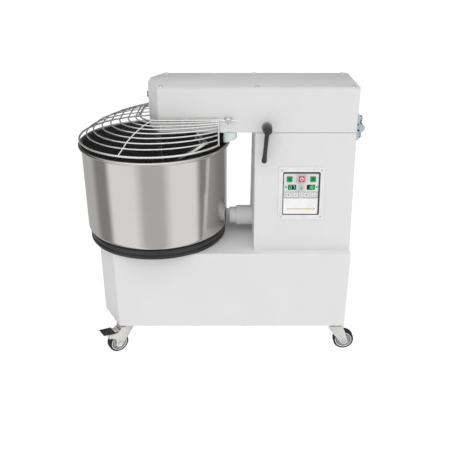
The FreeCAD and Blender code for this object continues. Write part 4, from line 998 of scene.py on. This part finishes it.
def caster_pieces():
    for name in CASTER_NAMES:
        place = caster_frame(name)
        braked = name.startswith("nose")
        side_view = place @ ACROSS
        fork_body = "caster_" + name
        wheel_body = "wheel_" + name
        bm = bmesh.new()
        crown = rounded_rectangle(45 * MM, 35 * MM, 4 * MM)
        crown_place = place @ Matrix.Translation((1.5 * MM, 0, 0))
        add_prism(bm, crown, CROWN_LOW * MM, CROWN_TOP * MM, crown_place, 1.2 * MM)
        for side in (-1, 1):
            y0, y1 = sorted((side * 15.0 * MM, side * 17.5 * MM))
            add_prism(bm, leg_outline(braked), y0, y1, side_view, 0.5 * MM, 2)
        finish_mesh("fork_" + name, bm, FORK_ZINC, fork_body, ["caster_fork_" + name], 40)
        bm = bmesh.new()
        for side in (-1, 1):
            out = side_view.to_3x3() @ Vector((0, 0, side))
            seat = side_view @ Vector((TRAIL * MM, AXLE * MM, side * 17.4 * MM))
            add_hex_bolt(bm, seat, out, 12 * MM, 3.6 * MM, turn=0.3)
            rim = side_view @ Vector((TRAIL * MM, AXLE * MM, side * 21 * MM))
            stud = [(0, 1.6), (2.6, 1.6), (3.4, 0.8), (3.4, -1.0)]
            add_lathe(bm, scaled(stud), 20, frame_matrix(rim, out))
        finish_mesh("axle_bolt_" + name, bm, AXLE_ZINC, fork_body)
        axle = place @ Matrix.Translation((TRAIL * MM, 0, AXLE * MM)) @ ACROSS

        def ring(piece, profile, material, slot, replaces=()):
            bm = bmesh.new()
            both = scaled(profile) + [(r, -h) for r, h in reversed(scaled(profile))]
            add_lathe(bm, both, 72, axle, closed=True)
            finish_mesh(piece, bm, material, wheel_body, replaces)

        tyre = [(27.3, 10.8), (27.8, 11.8), (30.2, 12.0), (32.3, 11.0), (33.2, 9.9), (33.5, 8.4)]
        ring("tyre_" + name, tyre, TYRE, "tyre", ["caster_wheel_" + name])
        rim = [(23.9, 7.0), (24.1, 11.0), (24.8, 11.9), (26.7, 11.9), (27.4, 10.9)]
        ring("wheel_rim_" + name, rim, RIM_GREY, "tyre")
        # Black ring sunk between hub and rim: painted shade in the groove.
        groove = [(21.4, 6.4), (21.7, 7.2), (23.7, 7.2), (24.0, 6.4)]
        ring("wheel_groove_painted_shade_" + name, groove, BLACK_NYLON, "tyre")
        hub = [(4.1, 12.9), (8.6, 12.9), (9.8, 11.8), (10.4, 8.9), (11.6, 8.2), (16.6, 8.2), (17.4, 9.2),
               (18.0, 10.8), (20.4, 11.2), (21.1, 10.4), (21.4, 7.4), (21.5, 6.4)]
        ring("wheel_hub_" + name, hub, HUB_GREY, "tyre")
        if braked:
            pedal_pieces(name, place, side_view)


def pedal_pieces(name, place, side_view):
    body = "brake_" + name
    bm = bmesh.new()
    plate = rounded_outline([(46, 78.3, 0.6), (86, 83.2, 1.2), (86, 86.0, 1.2), (46, 81.0, 0.6)], 3)
    add_prism(bm, scaled(plate), -19 * MM, 19 * MM, side_view, 0.7 * MM, 2)
    slope = 5.0 / 40.0
    for i in range(6):
        x = 56 + 5.2 * i
        z = 81.0 + (x - 46) * slope
        rib = [(x - 1.1, z - 0.4), (x + 1.1, z - 0.4 + 2.2 * slope), (x + 0.8, z + 0.9), (x - 0.8, z + 0.7)]
        add_prism(bm, scaled(rib), -16 * MM, 16 * MM, side_view, 0.25 * MM, 1)
    finish_mesh("brake_plate_" + name, bm, BLACK_NYLON, body, ["brake_pedal_" + name])
    bm = bmesh.new()
    tongue = rounded_outline([(27, 76.0, 0.6), (48, 78.6, 0.4), (48, 81.0, 0.4), (27, 78.4, 0.6)], 3)
    add_prism(bm, scaled(tongue), -13 * MM, 13 * MM, side_view, 0.5 * MM, 2)
    lever = rounded_outline([(50, 79, 1), (74, 82, 1), (64, 71, 3), (63.5, 56, 1), (60, 57, 1), (53, 71, 2)])
    add_prism(bm, scaled(lever), -10.8 * MM, 10.8 * MM, side_view, 0.6 * MM, 2)
    pin = [(0, -18.4), (2.6, -18.4), (2.95, -18.0), (2.95, 18.0), (2.6, 18.4), (0, 18.4)]
    pin_place = place @ Matrix.Translation((58 * MM, 0, 71 * MM)) @ ACROSS
    add_lathe(bm, scaled(pin), 24, pin_place)
    finish_mesh("brake_lever_" + name, bm, FORK_ZINC, body)


def caster_mount_pieces():
    bm = bmesh.new()
    bolts = bmesh.new()
    top = BASE_LOW.z
    for name in CASTER_NAMES:
        swivel = Vector(joint("swivel_" + name)["pos_m"])
        place = Matrix.Translation((swivel.x, swivel.y, 0))
        add_prism(bm, rounded_rectangle(44 * MM, 50 * MM, 6 * MM), top - 3 * MM, top, place, 0.5 * MM, 2)
        race = [(0, -9.0), (13.8, -9.0), (14.6, -8.2), (17.0, -4.2), (17.8, -3.4), (17.8, -2.9), (0, -2.9)]
        add_lathe(bm, [(r * MM, top + h * MM) for r, h in race], 56, place)
        for dx in (-15, 15):
            for dy in (-18, 18):
                seat = (swivel.x + dx * MM, swivel.y + dy * MM, top - 3 * MM)
                add_hex_bolt(bolts, seat, (0, 0, -1), 8 * MM, 4 * MM, washer=False)
    finish_mesh("caster_mounting_plates", bm, FORK_ZINC, "base", ["caster_plates"])
    finish_mesh("caster_bolt_heads", bolts, BOLT_STEEL, "base", ["caster_bolts"])


# ---- CAD nodes shown as they are
def carried_over_nodes():
    finishes = {
        PAINT: ("base_floor_plate", "rear_cover"),
        BLACK_NYLON: ("cable_gland",),
        CAST: ("bowl_bearing_housing", "gearmotor", "head_bearing_housings"),
        BELT: ("base_belt", "head_belt"),
        MACHINED: ("turntable", "bowl_pulley", "clamp_spindle", "drive_shaft", "head_drive_hub",
                   "spiral_pulley"),
        TOOL_STEEL: ("spiral_hook",),
        # The breaker's darkened steel is a painted dark reflection.
        BREAKER_SHADED_STEEL: ("breaker_bar",),
    }
    for material, names in finishes.items():
        for name in names:
            mesh = NODES[name].data
            mesh.materials.clear()
            mesh.materials.append(material)


# ---- stage, light and camera
LIGHT_BASE = -0.27        # soft light: level, gain towards the camera's side, gain upwards
LIGHT_FRONT = 0.75
LIGHT_TOP = 1.55
CAMERA_LENS = 48.95       # mm, on a sensor 36 mm wide
CAMERA_TILT = 25.04       # degrees below level
CAMERA_ASIDE = 0.2199     # from the bowl's axis, metres
CAMERA_AWAY = 1.8455      # from the machine's middle plane
CAMERA_ABOVE = 1.1418     # over the base's lower edge
# Cards round the set, seen only in reflections from below the horizon: a white screen and a dark
# flag on either side of the camera, with grey walls between them and a dimmer far end.
SCREEN_TONE = 1.0
WALL_TONE = 0.6
FAR_TONE = 0.4
FLAG_TONE = 0.3
CARDS = (
    # degrees to either side of the camera, brightness
    (15, WALL_TONE),
    (30, SCREEN_TONE),
    (70, SCREEN_TONE),
    (80, FLAG_TONE),
    (100, FLAG_TONE),
    (115, WALL_TONE),
)


def stage_piece(name, bm):
    """White paper of the set: seen by the camera, and no mirror for the object."""
    mesh = bpy.data.meshes.new(name)
    bm.to_mesh(mesh)
    bm.free()
    piece = bpy.data.objects.new(name, mesh)
    bpy.context.scene.collection.objects.link(piece)
    material, tree, shader = new_material(name)
    vector = mapping(tree, (1, 1, 1))
    tree.links.new(tint(tree, noise(tree, vector, 3.0), (0.05, 0.05, 0.05), (0.07, 0.07, 0.07)),
                   shader.inputs["Base Color"])
    shader.inputs["Roughness"].default_value = 0.9
    shader.inputs["Specular IOR Level"].default_value = 0.0
    shader.inputs["Emission Color"].default_value = (1, 1, 1, 1)
    shader.inputs["Emission Strength"].default_value = 1.0
    piece.data.materials.append(material)
    piece.visible_glossy = False
    return piece


def studio_set():
    """Floor, and a backdrop that lets the studio's light through."""
    bm = bmesh.new()
    bmesh.ops.create_grid(bm, x_segments=2, y_segments=2, size=40.0)
    stage_piece("studio_floor", bm)
    bm = bmesh.new()
    add_lathe(bm, [(38.0, -0.5), (38.0, 12.0), (34.0, 20.0), (24.0, 27.0), (0, 30.0)], 64)
    backdrop = stage_piece("studio_backdrop", bm)
    backdrop.visible_diffuse = False
    backdrop.visible_transmission = False
    backdrop.visible_shadow = False


def studio_world():
    """Soft light from above and from the camera's side; the cards below the horizon."""
    world = bpy.data.worlds.new("studio")
    bpy.context.scene.world = world
    world.use_nodes = True
    tree = world.node_tree
    background = tree.nodes["Background"]
    coords = tree.nodes.new("ShaderNodeTexCoord")
    parts = tree.nodes.new("ShaderNodeSeparateXYZ")
    tree.links.new(coords.outputs["Generated"], parts.inputs[0])

    def math_node(operation, a, b, c=None):
        node = tree.nodes.new("ShaderNodeMath")
        node.operation = operation
        for socket, value in zip(node.inputs, (a, b, c)):
            if value is None:
                continue
            if isinstance(value, (int, float)):
                socket.default_value = value
            else:
                tree.links.new(value, socket)
        return node.outputs[0]

    x, y, z = parts.outputs["X"], parts.outputs["Y"], parts.outputs["Z"]
    towards_camera = math_node("MULTIPLY", y, -1.0)
    soft = math_node("MULTIPLY_ADD", towards_camera, LIGHT_FRONT, LIGHT_BASE)
    soft = math_node("MULTIPLY_ADD", z, LIGHT_TOP, soft)
    soft = math_node("MAXIMUM", soft, 0.05)
    azimuth = math_node("ARCTAN2", x, towards_camera)
    turn = math_node("MULTIPLY_ADD", azimuth, 1 / (2 * pi), 0.5)
    cards = tree.nodes.new("ShaderNodeValToRGB")
    tree.links.new(turn, cards.inputs["Fac"])
    elements = cards.color_ramp.elements
    for end in elements:
        end.color = (FAR_TONE, FAR_TONE, FAR_TONE, 1)
    for angle, tone in CARDS:
        for side in (-1, 1):
            elements.new(0.5 + side * angle / 360).color = (tone, tone, tone, 1)
    above = tree.nodes.new("ShaderNodeMapRange")
    above.inputs["From Min"].default_value = -0.06
    above.inputs["From Max"].default_value = 0.06
    tree.links.new(z, above.inputs["Value"])
    mix = tree.nodes.new("ShaderNodeMix")
    mix.data_type = "RGBA"
    tree.links.new(above.outputs["Result"], mix.inputs["Factor"])
    tree.links.new(cards.outputs["Color"], mix.inputs[6])
    tree.links.new(soft, mix.inputs[7])
    tree.links.new(mix.outputs[2], background.inputs["Color"])


def photo_camera():
    camera = bpy.data.cameras.new("photo_camera")
    camera.sensor_width = 36.0
    camera.lens = CAMERA_LENS
    camera.clip_end = 50.0
    eye = bpy.data.objects.new("photo_camera", camera)
    eye.location = (BOWL_X + CAMERA_ASIDE, -CAMERA_AWAY, BASE_LOW.z + CAMERA_ABOVE)
    eye.rotation_euler = (radians(90 - CAMERA_TILT), 0, 0)
    bpy.context.scene.collection.objects.link(eye)
    bpy.context.scene.camera = eye


carried_over_nodes()
base_pieces()
column_pieces()
head_pieces()
bowl_pieces()
guard_piece()
panel_pieces()
key_pieces()
hinge_pieces()
screw_pieces()
lever_pieces()
pad_pieces()
caster_pieces()
caster_mount_pieces()
studio_set()
studio_world()
photo_camera()
bpy.context.scene.view_settings.view_transform = "Standard"
